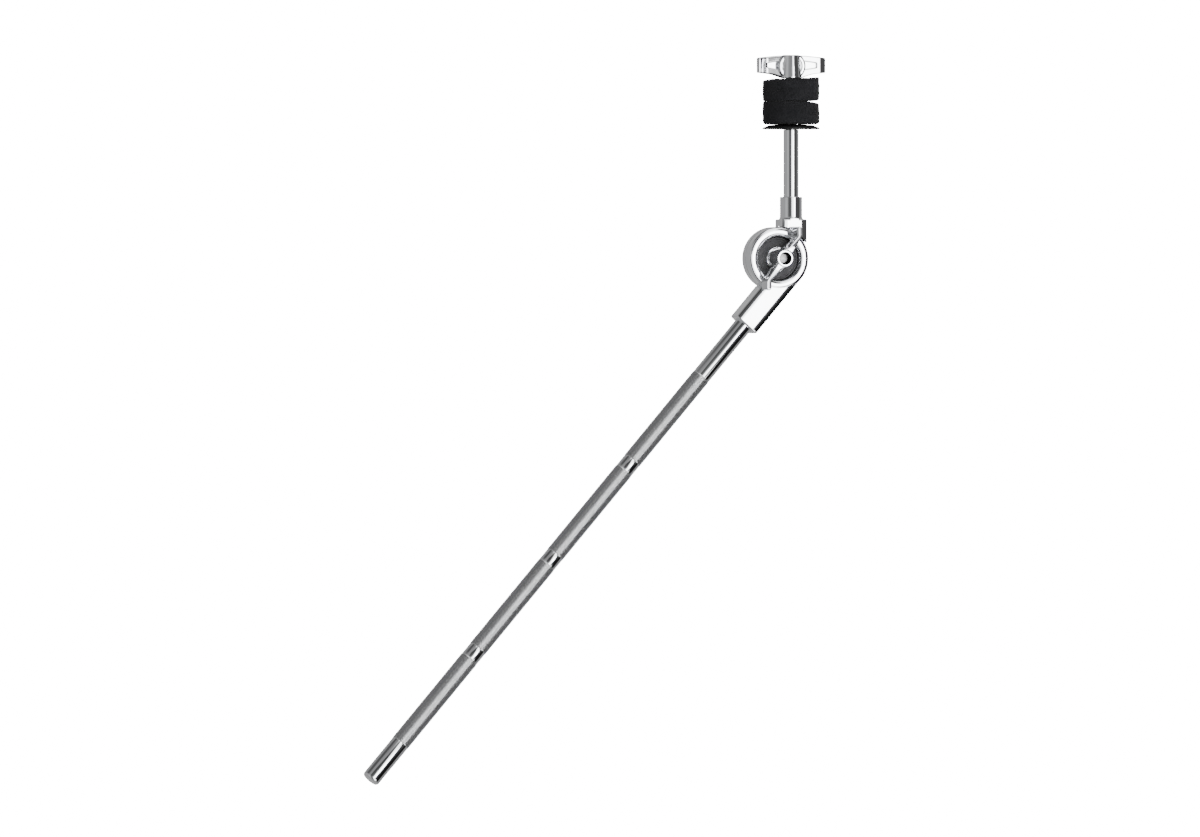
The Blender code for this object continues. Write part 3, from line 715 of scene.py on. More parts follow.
def knurl_row(row, columns):
    """Radii and groove depths of one row. Grooves of both hands cross, and leave small pyramids."""
    radii, depths = [], []
    for i in range(columns):
        to_left = min((i - row) % 4, (row - i) % 4)
        to_right = min((i + row) % 4, (-i - row) % 4)
        rise = (0.0, KNURL_SLOPE, 1.0)[min(to_left, to_right)]
        radii.append(KNURL_ROOT + (KNURL_CREST - KNURL_ROOT) * rise)
        depths.append(1 - rise)
    return radii, depths


def rod_rows(columns):
    """Rows (height, radii, groove depths, knurled) from the lower end to the end in the socket."""
    def plain(radius, height):
        return (height, [radius] * columns, [0.0] * columns, None)

    end = fillet((ROD_RADIUS - ROD_END_ROUND, ROD_END_ROUND), ROD_END_ROUND, -90, 0, 10)
    rows = [plain(*point) for point in end]
    for zone in range(KNURL_ZONES):
        low = ROD_PLAIN_END + zone * (KNURL_LENGTH + BAND_LENGTH)
        rows.append(plain(ROD_RADIUS, low - RUNOUT_LENGTH))
        rows.append(plain(ROD_RADIUS - RUNOUT_DEPTH, low))
        for row in range(1, KNURL_ROWS):
            radii, depths = knurl_row(row, columns)
            rows.append((low + KNURL_LENGTH * row / KNURL_ROWS, radii, depths, row))
        rows.append(plain(ROD_RADIUS - RUNOUT_DEPTH, low + KNURL_LENGTH))
        rows.append(plain(ROD_RADIUS, low + KNURL_LENGTH + RUNOUT_LENGTH))
    top = PIVOT_TO_ROD_END - LOWER_NECK_END + ROD_SOCKET_DEPTH - FACE_GAP
    rows += [plain(ROD_RADIUS, top - ROD_TOP_CHAMFER), plain(ROD_RADIUS - ROD_TOP_CHAMFER, top)]
    return rows


def boom_rod():
    """The whole rod as one skin: plain ends and bands, and four knurled lengths."""
    columns = 4 * KNURL_STARTS
    rows = rod_rows(columns)
    angles = np.arange(columns) * 2 * math.pi / columns
    points = []
    for height, radii, _, _ in rows:
        points += zip(radii * np.cos(angles), radii * np.sin(angles), [height] * columns)
    faces, knurled = [], []
    for r in range(len(rows) - 1):
        row, following = rows[r][3], rows[r + 1][3]
        for i in range(columns):
            j = (i + 1) % columns
            a, b, c, d = r * columns + i, r * columns + j, (r + 1) * columns + j, (r + 1) * columns + i
            if row is None or following is None:
                faces.append((a, b, c, d))
                knurled.append(row is not following)
            else:
                faces += [(a, b, c), (a, c, d)] if (i - row) % 2 == 0 else [(a, b, d), (b, c, d)]
                knurled += [True, True]
    faces.append(tuple(range(columns)))
    faces.append(tuple((len(rows) - 1) * columns + i for i in range(columns)))
    knurled += [False, False]
    mesh = mesh_of(points, faces, ROD, 40)
    mesh.polygons.foreach_set("use_smooth", [not flag for flag in knurled])
    groove = mesh.attributes.new("groove", "FLOAT", "POINT")
    groove.data.foreach_set("value", [depth for _, _, depths, _ in rows for depth in depths])
    show("boom_rod_steel", mesh, "lower_arm", "rod", "boom_rod", flats=False)
    mesh.materials.append(LOOKS["knurl"][0])
    mesh.polygons.foreach_set("material_index", [int(flag) for flag in knurled])


# --- Tilter castings ----------------------------------------------------------------------------


def rim_outline():
    """The front disc's rim: a flat-topped ring with round shoulders, from its foot to its outer edge."""
    half_in, half_out, rise = RIM_MIDDLE - DISH_RADIUS, DISC_RADIUS - RIM_MIDDLE, RIM_CREST - RIM_SHOULDER
    power = 2 / RIM_POWER
    points = []
    for k in range(37):
        angle = math.radians(180 - 5 * k)
        c, s = math.cos(angle), math.sin(angle)
        across = (half_out if c > 0 else half_in) * math.copysign(abs(c) ** power, c)
        points.append((RIM_MIDDLE + across, RIM_SHOULDER + rise * max(s, 0) ** power))
    return points


def brake_pocket(side):
    """The ring-shaped pocket in a disc's parting face, for side 1 in front of the face or -1 behind it."""
    inner, outer = BRAKE_INNER - BRAKE_PLAY, BRAKE_OUTER + BRAKE_PLAY
    points = [(outer, PARTING), (outer, BRAKE_POCKET), (inner, BRAKE_POCKET), (inner, PARTING)]
    return [(radius, side * depth) for radius, depth in points]


def neck_outline():
    """A quarter-symmetric section of a neck as (across, deep): flat front and back, slow shoulders."""
    turn = math.radians(NECK_TURN)
    half, deep = NECK_WIDTH / 2, NECK_DEPTH / 2
    reach = (half - NECK_FLAT) / math.sin(turn)
    quarter = []
    for k in range(8):
        angle = turn * k / 7
        quarter.append((NECK_FLAT + reach * math.sin(angle), deep - reach * (1 - math.cos(angle)), 0))
    quarter[-1] = (*quarter[-1][:2], NECK_EDGE)
    corners = quarter + [(a, -b, r) for a, b, r in reversed(quarter)]
    corners += [(-a, -b, r) for a, b, r in quarter] + [(-a, b, r) for a, b, r in reversed(quarter)]
    return soft(corners, 4)


def neck(offset, ends, end_rounds):
    """The bar that holds the rod or the collar, cut clear of the other half's disc."""
    outline = neck_outline()

    def section(place, inset):
        narrower, thinner = 1 - inset / (NECK_WIDTH / 2), 1 - inset / (NECK_DEPTH / 2)
        return [(offset + a * narrower, place, b * thinner) for a, b in outline]

    bar = loft(bar_sections(ends, end_rounds, section))
    side = 1 if ends[1] > 0 else -1
    deep = NECK_DEPTH / 2 + CUT_PAST
    hollow = rod_between((0, 0, -1.2 * deep), (0, 0, 1.2 * deep), DISC_RADIUS - 1.6 * MM, FINE)
    disc = rod_between((0, 0, -side * PARTING), (0, 0, side * deep), DISC_RADIUS + DISC_CLEARANCE, FINE)
    start_low, start_high = sorted((-side * deep, side * NECK_START))
    depth_low, depth_high = sorted((-side * PARTING, 1.1 * side * deep))
    start = box((0, start_low, depth_low), (30 * MM, start_high, depth_high))
    return carved(bar, cut=[hollow, disc, start])


def pin_hole(across, place, radius):
    deep = NECK_DEPTH / 2 + CUT_PAST
    return rod_between((across, place, -deep), (across, place, 0), radius + FIT_GAP)


def lower_casting():
    outline = [(BUSH_OUTER + FIT_GAP, DISH_FLOOR), (DISH_RADIUS - DISH_EDGE, DISH_FLOOR)]
    outline += fillet((DISH_RADIUS - DISH_EDGE, DISH_FLOOR + DISH_EDGE), DISH_EDGE, -90, 0, 5)[1:]
    outline += rim_outline()
    outline += fillet((DISC_RADIUS - CASTING_EDGE, PARTING + CASTING_EDGE), CASTING_EDGE, 0, -90, 4)
    outline += brake_pocket(1)
    outline += [(SPRING_POCKET_RADIUS, PARTING), (SPRING_POCKET_RADIUS, SPRING_POCKET_FRONT)]
    outline += [(BUSH_OUTER + FIT_GAP, SPRING_POCKET_FRONT)]
    bar = neck(ROD_OFFSET, (-LOWER_NECK_END, 0), (1.1 * MM, 0))
    socket = rod_between(
        (ROD_OFFSET, -LOWER_NECK_END - CUT_PAST, 0), (ROD_OFFSET, -LOWER_NECK_END + ROD_SOCKET_DEPTH, 0),
        ROD_RADIUS + FIT_GAP, ROUND, SOCKET_MOUTH,
    )
    hole = pin_hole(ROD_OFFSET, ROD_PIN_PLACE, ROD_PIN_RADIUS)
    made = carved(lathe(outline, HERE, FINE), add=[bar], cut=[hole, socket])
    show("tilter_lower_half", placed(made, LOWER), "lower_arm", "cast", "lower_tilter_casting")


def collar():
    """The round boss on top of the upper neck, flared at its foot and trimmed to the neck's depth."""
    across, along_post = COLLAR_FLARE
    flare = arc((COLLAR_RADIUS + across, UPPER_NECK_END + along_post), across, along_post, 180, 250, 8)
    outline = soft([(0, COLLAR_TOP, 0), (COLLAR_RADIUS, COLLAR_TOP, 0.5 * MM), (*flare[0], 0)], 5)
    foot = UPPER_NECK_END - 1 * MM
    outline += flare[1:] + [(flare[-1][0], foot), (0, foot)]
    axis = Matrix.Translation((POST_OFFSET, 0, 0)) @ Matrix.Rotation(-math.pi / 2, 4, "X")
    half = NECK_DEPTH / 2 - 0.02 * MM
    trim = box((0, 0, -half), (NECK_WIDTH + POST_OFFSET, COLLAR_TOP + CUT_PAST, half))
    return carved(lathe(outline, axis), within=[trim])


def upper_casting():
    outline = [(SPRING_POCKET_RADIUS, -PARTING)]
    outline += brake_pocket(-1)[::-1]
    outline += fillet((DISC_RADIUS - CASTING_EDGE, -PARTING - CASTING_EDGE), CASTING_EDGE, 90, 0, 4)
    back_edge = (DISC_RADIUS - REAR_DISC_EDGE, REAR_DISC_BACK + REAR_DISC_EDGE)
    outline += fillet(back_edge, REAR_DISC_EDGE, 0, -90, 10)
    outline += [(NUT_BORE, REAR_DISC_BACK), (NUT_BORE, SPRING_POCKET_BACK)]
    outline += [(SPRING_POCKET_RADIUS, SPRING_POCKET_BACK)]
    bar = neck(POST_OFFSET, (0, UPPER_NECK_END), (0, 0.9 * MM))
    post_bore = rod_between(
        (POST_OFFSET, COLLAR_TOP + CUT_PAST, 0), (POST_OFFSET, POST_FOOT - FACE_GAP, 0),
        POST_RADIUS + FIT_GAP, ROUND, COLLAR_MOUTH,
    )
    hole = pin_hole(POST_OFFSET, POST_PIN_PLACE, POST_PIN_RADIUS)
    half = SQUARE_HOLE / 2
    square = box((-half, -half, REAR_DISC_BACK - CUT_PAST), (half, half, -BRAKE_POCKET))
    made = carved(lathe(outline, HERE, FINE), add=[bar, collar()], cut=[hole, post_bore, square])
    show("tilter_upper_half", placed(made, UPPER), "upper_arm", "cast", "upper_tilter_casting")


# --- What squeezes the tilter -------------------------------------------------------------------


def carriage_bolt():
    """Domed head, square neck and a threaded shank whose end shows inside the wing nut."""
    underside = REAR_DISC_BACK - FACE_GAP
    shank_end = 1 * MM
    outline = [(0, shank_end), (THREAD_MAJOR, shank_end), (THREAD_MAJOR, underside)]
    outline += [(BOLT_HEAD_RADIUS - 0.2 * MM, underside), (BOLT_HEAD_RADIUS, underside - 0.3 * MM)]
    dome = arc((0, underside - 0.8 * MM), BOLT_HEAD_RADIUS, BOLT_HEAD_HEIGHT - 0.8 * MM, 0, -90, 14)
    head = lathe(outline + dome[:-1] + [(0, dome[-1][1])])

    def section(place, inset):
        half, bend = SQUARE_NECK / 2 - inset, 0.5 * MM - inset
        loop = soft([(half, half, bend), (-half, half, bend), (-half, -half, bend), (half, -half, bend)], 7)
        return [(x, y, place) for x, y in loop]

    square = loft(bar_sections((underside - 0.5 * MM, SQUARE_NECK_START), (0, 0.4 * MM), section))
    made = carved(head, add=[square, thread(shank_end - 0.5 * MM, BOLT_END, 0.9 * MM)])
    show("carriage_bolt", placed(made, UPPER), "upper_arm", "steel", "hinge_bolt")


def show_ring(name, body, look, stands_for, inner, outer, low, high, edge):
    """A flat ring round the tilter's axis, with all four edges rounded."""
    outline = soft([(inner, high, edge), (outer, high, edge), (outer, low, edge), (inner, low, edge)], 3)
    show(name, lathe(outline, LOWER if body == "lower_arm" else UPPER), body, look, stands_for)


def brake_parts():
    far = BRAKE_FACE + BRAKE_THICKNESS
    show_ring("friction_ring", "lower_arm", "lining", "brake_lining",
              BRAKE_INNER, BRAKE_OUTER, BRAKE_FACE, far, 0.1 * MM)
    show_ring("pressure_plate", "upper_arm", "steel", "brake_plate",
              BRAKE_INNER, BRAKE_OUTER, -far, -BRAKE_FACE, 0.1 * MM)
    show_ring("hinge_bush", "lower_arm", "pale", "bolt_bush",
              BUSH_INNER, BUSH_OUTER, SPRING_POCKET_FRONT + FACE_GAP, THRUST_DISC_TOP, 0.15 * MM)
    show_ring("plain_washer", "tilter_washer", "hinge", "tilter_washer",
              BUSH_INNER, WASHER_RADIUS, THRUST_DISC_TOP + FACE_GAP, WASHER_TOP, 0.22 * MM)


def thrust_plate():
    """The dark disc on the dish's floor, with a raised border round the bush and another at its edge."""
    low, top = DISH_FLOOR + FACE_GAP, THRUST_DISC_TOP
    inner, outer = BUSH_OUTER + FIT_GAP, DISH_RADIUS - 0.3 * MM
    step = top - THRUST_STEP
    outline = soft(
        [(inner, top, 0.1 * MM), (8.6 * MM, top, 0.1 * MM), (9 * MM, step, 0.2 * MM),
         (outer - 1.6 * MM, step, 0.2 * MM), (outer - 1.2 * MM, top, 0.15 * MM), (outer, top, 0.4 * MM),
         (outer, low, 0.5 * MM), (inner, low, 0.1 * MM)], 3,
    )
    show("thrust_plate", lathe(outline, LOWER), "lower_arm", "dark", "thrust_disc")


def release_spring():
    """A round-wire coil between the two halves, a little thinner at its two cut ends."""
    points_a_turn, sides = 40, 12
    radius = SPRING_POCKET_RADIUS - SPRING_WIRE - SPRING_PLAY
    low = SPRING_POCKET_BACK + SPRING_WIRE + FACE_GAP
    high = SPRING_POCKET_FRONT - SPRING_WIRE - FACE_GAP
    count = SPRING_TURNS * points_a_turn
    sections = []
    for i in range(count + 1):
        angle = 2 * math.pi * i / points_a_turn
        share = i / count
        height = low + (high - low) * share
        outward = Vector((math.cos(angle), math.sin(angle), 0))
        centre = outward * radius + Vector((0, 0, height))
        wire = SPRING_WIRE * (0.8 if i in (0, count) else 1.0)
        loop = []
        for k in range(sides):
            turn = 2 * math.pi * k / sides
            rise = Vector((0, 0, wire * math.sin(turn)))
            loop.append(tuple(centre + outward * wire * math.cos(turn) + rise))
        sections.append(loop)
    show("compression_spring", loft(sections, LOWER, 60), "lower_arm", "steel", "release_spring")


def roll_pin(name, radius, length, place, body, stands_for):
    """A rolled spring pin: a C of sheet steel with chamfered ends."""
    gap = PIN_SLOT / 2 / radius
    steps = 30
    inner = radius - PIN_WALL
    sections = []
    for height, inset in ((0, 0.25 * MM), (0.3 * MM, 0), (length - 0.3 * MM, 0), (length, 0.25 * MM)):
        angles = [gap + (2 * math.pi - 2 * gap) * k / steps for k in range(steps + 1)]
        loop = [((radius - inset) * math.cos(a), (radius - inset) * math.sin(a), height) for a in angles]
        loop += [(inner * math.cos(a), inner * math.sin(a), height) for a in reversed(angles)]
        sections.append(loop)
    show(name, loft(sections, place), body, "steel", stands_for)


def roll_pins():
    depth = NECK_DEPTH / 2 - 0.3 * MM
    place = LOWER @ Matrix.Translation((ROD_OFFSET, ROD_PIN_PLACE, -depth))
    roll_pin("rod_roll_pin", ROD_PIN_RADIUS, depth + 5.6 * MM, place, "lower_arm", "rod_pin")
    depth = COLLAR_RADIUS - 0.4 * MM
    place = UPPER @ Matrix.Translation((POST_OFFSET, POST_PIN_PLACE, -depth))
    roll_pin("post_roll_pin", POST_PIN_RADIUS, depth + 4.4 * MM, place, "upper_arm", "post_pin")


# --- Wing nuts ----------------------------------------------------------------------------------


def along(line, count):
    """So many points evenly spaced along a line of points."""
    line = np.array(line)
    steps = np.hypot(*np.diff(line, axis=0).T)
    length = np.concatenate([[0], np.cumsum(steps)])
    places = np.linspace(0, length[-1], count)
    return list(zip(np.interp(places, length, line[:, 0]), np.interp(places, length, line[:, 1])))


def wing_plan():
    """Pairs of points (flat side, sloped side) down one wing seen from above, with its bent tip."""
    u = Vector((math.cos(WING_BEND_TURN), math.sin(WING_BEND_TURN)))
    v = Vector((-u.y, u.x))
    half = WING_TIP_THICKNESS / 2
    corner = Vector((WING_BEND, WING_BACK))
    centre = corner + u * WING_TIP_LENGTH + v * half
    flat_end, slope_end = centre - v * half, centre + v * half
    inner_bend = slope_end - u * 5.1 * MM
    flat = soft([(WING_ROOT, WING_BACK, 0), (*corner, 2.2 * MM), (*flat_end, 0)], 8)
    root = [tuple(number * MM for number in point) for point in WING_SLOPE]
    slope = soft([*root, (*inner_bend, 2.6 * MM), (*slope_end, 0)], 8)
    pairs = list(zip(along(flat, 64), along(slope, 64)))
    for k in range(1, 9):
        angle = math.radians(10.5 * k)
        tip = centre + u * half * math.sin(angle)
        pairs.append((tuple(tip - v * half * math.cos(angle)), tuple(tip + v * half * math.cos(angle))))
    return pairs


def wing_loop(flat, slope):
    """One upright cut through a wing between its flat and its sloped side."""
    reach = (flat[0] + slope[0]) / 2 / MM
    top = np.interp(reach, *WING_TOP) * MM
    low = np.interp(reach, *WING_FOOT) * MM
    across = Vector((slope[0] - flat[0], slope[1] - flat[1]))
    width = across.length
    across.normalize()
    limit = 0.46 * width
    loop = soft(
        [(0, low, min(0.5 * MM, limit)), (width, low, min(0.6 * MM, limit)),
         (width, top, min(1.1 * MM, limit)), (0, top, min(0.7 * MM, limit))], 4,
    )
    return [(flat[0] + across.x * w, flat[1] + across.y * w, z) for w, z in loop]


def recess(floor, reach, out):
    """The cutter of the recess in a wing's side, from its floor outwards, with a little draft."""
    sections = []
    for place, grow in ((floor, 0.0), (out, RECESS_DRAFT)):
        outline = soft(
            [(RECESS_START, 5.7 * MM - grow, 0), (reach + grow, 7.1 * MM - grow, 1 * MM),
             (reach + grow, 10.6 * MM + grow, 1 * MM), (RECESS_START, 11.9 * MM + grow, 0)], 5,
        )
        sections.append([(x, place, z) for x, z in outline])
    return loft(sections)


def wing(turn):
    """One wing with a recess in each side, turned round the nut's axis."""
    bare = loft([wing_loop(*pair) for pair in wing_plan()])
    front, back = recess(*FRONT_RECESS, 6 * MM), recess(*BACK_RECESS, -6 * MM)
    return placed(carved(bare, cut=[front, back]), Matrix.Rotation(turn, 4, "Z"))


def coin():
    """The upright disc round the hub: a raised middle, a groove, a rim and a skirt into the wings."""
    face, groove = COIN_FACE, COIN_FACE - COIN_GROOVE_DEPTH
    profile = [
        (5.8 * MM, face, 0.25 * MM), (6.2 * MM, groove, 0.2 * MM), (6.8 * MM, groove, 0.2 * MM),
        (7.2 * MM, face, 0.25 * MM), (COIN_RADIUS - 0.2 * MM, face - 0.1 * MM, 0.6 * MM),
        (COIN_RADIUS + 0.3 * MM, 1.4 * MM, 0.4 * MM), (COIN_RADIUS + 1 * MM, 0.6 * MM, 0.2 * MM),
    ]
    outline = [(0, face, 0), *profile]
    outline += [(r, -y, bend) for r, y, bend in reversed(profile)] + [(0, -face, 0)]
    upright = Matrix.Translation((0, 0, COIN_CENTRE)) @ Matrix.Rotation(math.pi / 2, 4, "X")
    reach = 2 * COIN_RADIUS
    low = box((-reach, -reach, -reach), (reach, reach, COIN_SKIRT[0]))
    high = box((-reach, -reach, COIN_SKIRT[1]), (reach, reach, 30 * MM))
    return carved(lathe(soft(outline, 3), upright), cut=[low, high])


def bore_outline():
    """The nut's bore with its turns of thread, as the outline of a cutter."""
    points = [(0, -CUT_PAST), (NUT_BORE + 0.9 * MM + CUT_PAST, -CUT_PAST), (NUT_BORE, 0.9 * MM)]
    height = 1.5 * MM
    while height < NUT_HEIGHT - 1.6 * MM:
        points += [(NUT_BORE, height), (NUT_BORE + 0.38 * MM, height + 0.42 * MM)]
        points.append((NUT_BORE, height + 0.84 * MM))
        height += THREAD_PITCH
    points += [(NUT_BORE, NUT_HEIGHT - 0.3 * MM), (NUT_BORE + 0.3 * MM + CUT_PAST, NUT_HEIGHT + CUT_PAST)]
    return points + [(0, NUT_HEIGHT + CUT_PAST)]


def wing_nut_mesh():
    """One die casting: hub, coin and two wings with bent tips, then the bore."""
    outline = soft(
        [(0, NUT_HEIGHT, 0), (NUT_HUB_RADIUS, NUT_HEIGHT, 0.3 * MM),
         (NUT_HUB_RADIUS + 0.6 * MM, 8 * MM, 4 * MM), (NUT_FOOT_RADIUS, 1 * MM, 0.5 * MM),
         (NUT_FOOT_RADIUS, 0, 0.3 * MM), (0, 0, 0)], 4,
    )
    fused = cast([lathe(outline), coin(), wing(0), wing(math.pi)], NUT_VOXEL, NUT_SMOOTHING)
    return carved(fused, cut=[lathe(bore_outline(), HERE, SMALL_ROUND)])


def wing_nuts():
    """The same nut twice: on the tilter's bolt and on the post's stud. Its bore gets a near-black material
    as painted shade.
    """
    nut = wing_nut_mesh()
    shade(nut, 50)
    wall, mouth = NUT_BORE + 0.45 * MM, NUT_HEIGHT - 0.3 * MM
    bored = [int(math.hypot(*p.center.xy) < wall and p.center.z < mouth) for p in nut.polygons]
    for name, place, body, stands_for in (
        ("tilter_clamp_nut", TILTER_NUT, "tilter_nut", "tilter_wing_nut"),
        ("cymbal_nut", TOP_NUT, "top_nut", "top_wing_nut"),
    ):
        obj = show(name, placed(nut.copy(), place), body, "cast", stands_for, flats=False)
        # the bore's faces take the near-black material: painted shade in the bore
        obj.data.materials.append(LOOKS["bore"][0])
        obj.data.polygons.foreach_set("material_index", bored)


# --- Post, seat and felts -----------------------------------------------------------------------


def post():
    outline = soft(
        [(0, POST_SHOULDER, 0), (POST_RADIUS, POST_SHOULDER, 0.35 * MM), (POST_RADIUS, POST_FOOT, 0.5 * MM),
         (0, POST_FOOT, 0)], 4,
    )
    made = carved(lathe(outline), add=[thread(POST_SHOULDER - 1 * MM, STUD_TOP)])
    show("post_and_stud", placed(made, POST), "upper_arm", "post", "post")


def seat():
    """The cup washer under the felts, with a thin turned-down lip, and the sleeve round the stud."""
    low, top = POST_SHOULDER + FACE_GAP, LOWER_FELT[0] - FACE_GAP
    inner = THREAD_MAJOR + 0.4 * MM
    outline = soft(
        [(inner, top, 0.15 * MM), (9 * MM, top, 1 * MM), (14.6 * MM, top - 0.35 * MM, 2 * MM),
         (18.4 * MM, top - 1.75 * MM, 0.8 * MM), (SEAT_RADIUS, top - 2.15 * MM, 0.35 * MM),
         (SEAT_RADIUS, low, 0.3 * MM), (18.2 * MM, low, 0.3 * MM), (13 * MM, low + 1.2 * MM, 2 * MM),
         (8.4 * MM, low + 1.5 * MM, 0.5 * MM), (7.2 * MM, low, 0.3 * MM), (inner, low, 0.15 * MM)], 4,
    )
    show("cup_washer", lathe(outline, POST, FINE), "upper_arm", "black", "seat_washer")
    inner = THREAD_MAJOR + 0.35 * MM
    outline = soft(
        [(inner, SLEEVE_TOP, 0.2 * MM), (SLEEVE_RADIUS, SLEEVE_TOP, 0.5 * MM),
         (SLEEVE_RADIUS, LOWER_FELT[0], 0.1 * MM), (inner, LOWER_FELT[0], 0.1 * MM)], 4,
    )
    show("stud_sleeve", lathe(outline, POST), "upper_arm", "black", "cymbal_sleeve")


def felt_outline(low, high, rounds):
    """A dense outline of one felt, so that its surface can be roughened everywhere."""
    corners = [(FELT_BORE, high, 0.6 * MM), (FELT_RADIUS, high, rounds[1]), (FELT_RADIUS, low, rounds[0]),
               (FELT_BORE, low, 0.6 * MM)]
    coarse = soft(corners, 6)
    points = []
    for one, two in zip(coarse, coarse[1:] + coarse[:1]):
        length = math.dist(one, two)
        parts = max(1, round(length / FELT_CELL))
        points += [(one[0] + (two[0] - one[0]) * k / parts, one[1] + (two[1] - one[1]) * k / parts)
                   for k in range(parts)]
    return points


def felt_mesh(span, rounds, sag, seed):
    """A felt ring with an uneven cut, a lumpy matted skin and a slight barrel."""
    low, high = span
    mesh = lathe(felt_outline(low, high, rounds), HERE, FELT_COLUMNS, 180)
    middle = (low + high) / 2
    offset = Vector((seed * 3.1, seed * 1.7, seed * 2.3))
    for vertex, normal in zip(mesh.vertices, [n.vector.copy() for n in mesh.vertex_normals]):
        point = vertex.co.copy()
        radius = math.hypot(point.x, point.y)
        share = (radius - FELT_BORE) / (FELT_RADIUS - FELT_BORE)
        lumps = sum(noise.noise(point * scale + offset) * height for scale, height in FELT_LUMPS)
        outside = max(0.0, min(1.0, (share - 0.75) * 4))
        rough = lumps * (0.25 + 0.75 * outside)
        point += normal * rough * MM
        bulge = 1 - ((vertex.co.z - middle) / ((high - low) / 2)) ** 2
        if radius > FELT_BORE + 1 * MM:
            point.x *= 1 + FELT_BARREL * bulge * share
            point.y *= 1 + FELT_BARREL * bulge * share
        angle = math.atan2(point.y, point.x)
        point.z += sag(angle, share, vertex.co.z > middle) * MM
        vertex.co = point
    mesh.update()
    mesh.shade_smooth()
    return mesh


def lower_sag(angle, share, top):
    """The lower felt's top edge falls away on the right, where the felts stand a little open."""
    right = max(0.0, math.cos(angle + 0.25))
    outer = max(0.0, (share - 0.35) / 0.65)
    if top:
        return -1.5 * right ** 3 * outer ** 1.4 + 0.15 * math.sin(3 * angle + 1)
    return 0.25 * outer ** 3 + 0.12 * math.sin(2 * angle)


def upper_sag(angle, share, top):
    """The upper felt is a little wedge shaped: its edge is low on the left and high on the right."""
    across = math.cos(angle + 0.2)
    outer = max(0.0, (share - 0.35) / 0.65)
    if top:
        return (1.15 * across if across > 0 else 1.35 * across) * outer ** 1.3
    return 0.9 * max(0.0, across) ** 2 * outer ** 1.5 + 0.08 * math.sin(3 * angle)


def fibres(mesh, count, seed):
    """Loose fibres: short closed curved spikes rooted in the felt's outer skin."""
    rng = np.random.default_rng(seed)
    polygons = [p for p in mesh.polygons if math.hypot(p.center.x, p.center.y) > FELT_BORE + 3 * MM]
    area = np.array([p.area for p in polygons])
    picked = rng.choice(len(polygons), size=count, p=area / area.sum())
    points, faces = [], []
    for index in picked:
        face = polygons[index]
        normal = face.normal
        root = face.center + Vector(rng.normal(0, 0.15 * MM, 3)) - normal * 0.12 * MM
        lean = Vector(rng.normal(0, 0.75, 3))
        direction = (normal + lean).normalized()
        if direction.dot(normal) < 0.25:
            direction = (direction + normal * 0.6).normalized()
        bend = Vector(rng.normal(0, 0.6, 3))
        length = rng.uniform(*FIBRE_LENGTH) * MM
        width = rng.uniform(*FIBRE_RADIUS) * MM
        side = direction.orthogonal().normalized()
        other = direction.cross(side)
        second = (direction + bend * 0.7).normalized()
        middle = root + direction * length * 0.55
        tip = middle + second * length * 0.45
        base = len(points)
        for centre, size in ((root, 1.0), (middle, 0.75)):
            for k in range(3):
                turn = 2 * math.pi * k / 3
                spoke = side * math.cos(turn) + other * math.sin(turn)
                points.append(tuple(centre + spoke * width * size))
        points.append(tuple(tip))
        faces.append((base, base + 1, base + 2))
        for k in range(3):
            j = (k + 1) % 3
            faces.append((base + k, base + j, base + 3 + j, base + 3 + k))
            faces.append((base + 3 + k, base + 3 + j, base + 6))
    return mesh_of(points, faces, HERE, 180)


def felts():
    for name, span, rounds, sag, body, stands_for, seed in (
        ("lower_felt_wool", LOWER_FELT, (1.9 * MM, 1.1 * MM), lower_sag, "upper_arm", "lower_felt", 1),
        ("upper_felt_wool", UPPER_FELT, (1.0 * MM, 1.0 * MM), upper_sag, "upper_felt", "upper_felt", 2),
    ):
        mesh = felt_mesh(span, rounds, sag, seed)
        fuzz = fibres(mesh, FELT_FIBRES, FELT_SEED + seed)
        wool = show(name, placed(mesh, POST), body, "felt", stands_for, flats=False)
        show(name.replace("wool", "fibres"), placed(fuzz, POST), body, "fibre", flats=False)


# --- Stage --------------------------------------------------------------------------------------


# The studio round the object, as panels laid over each other: name, azimuths from and to in degrees to
# the right of the camera, elevations from and to, radiance, softness of the edges in degrees, and how
# far the panel leans to the right for each degree of elevation
PANELS = [
    ("rear wall", 104, 136, -95, 95, 0.42, 12, 0),
    ("rear corner", 136, 190, -95, 95, 0.70, 16, 0),
    ("left rear corner", -190, -150, -95, 95, 0.65, 16, 0),
    ("left wall's top", -150, -112, 34, 95, 0.42, 10, 0),
    ("wall rail", -112, -12, 34, 48, 0.40, 8, 0),
    ("dark ceiling on the left", -104, -44, 45, 95, 0.14, 9, 0),
    ("ceiling towards the front", -44, -12, 48, 95, 0.32, 8, 0),
    ("bright strip on the left wall", -60, -37, -30, 18, 0.78, 7, 0),
    ("camera and stand", -28, 2, -60, 3, 0.13, 7, 0),
    ("wall above the camera", -24, 18, 4, 16, 0.42, 6, 0),
    ("header", -24, 19, 15, 24, 0.16, 5, 0),
    ("boom above the camera", -14, 13, 23, 36, 0.085, 6, 0),
    ("overhead box", 0, 62, 41, 78, 4.5, 7, 0),
    ("ceiling", -200, 200, 78, 95, 1.0, 8, 0),
    ("flag right of the softbox", 40, 101, -64, 38, 0.11, 6, 0),
    ("dark foot of the flag", 56, 98, -36, -13, 0.015, 8, 0),
    ("softbox", 21, 37, 3, 34, 6.5, 4, 0),
    ("softbox's lower half", 9, 37, -22, 5, 6.5, 4, 0),
    ("softbox's low wing", 9, 50, -52, -20, 7.0, 5, -0.12),
    ("softbox's hot middle", 29, 43, -6, 6, 16.0, 3, 0),
    ("ground", -200, 200, -95, -60, 0.55, 10, 0),
]
WALL = 0.55
DIFFUSE_SHARE = 0.75  # matte surfaces get this much of the panels, which are set for mirror-bright chrome


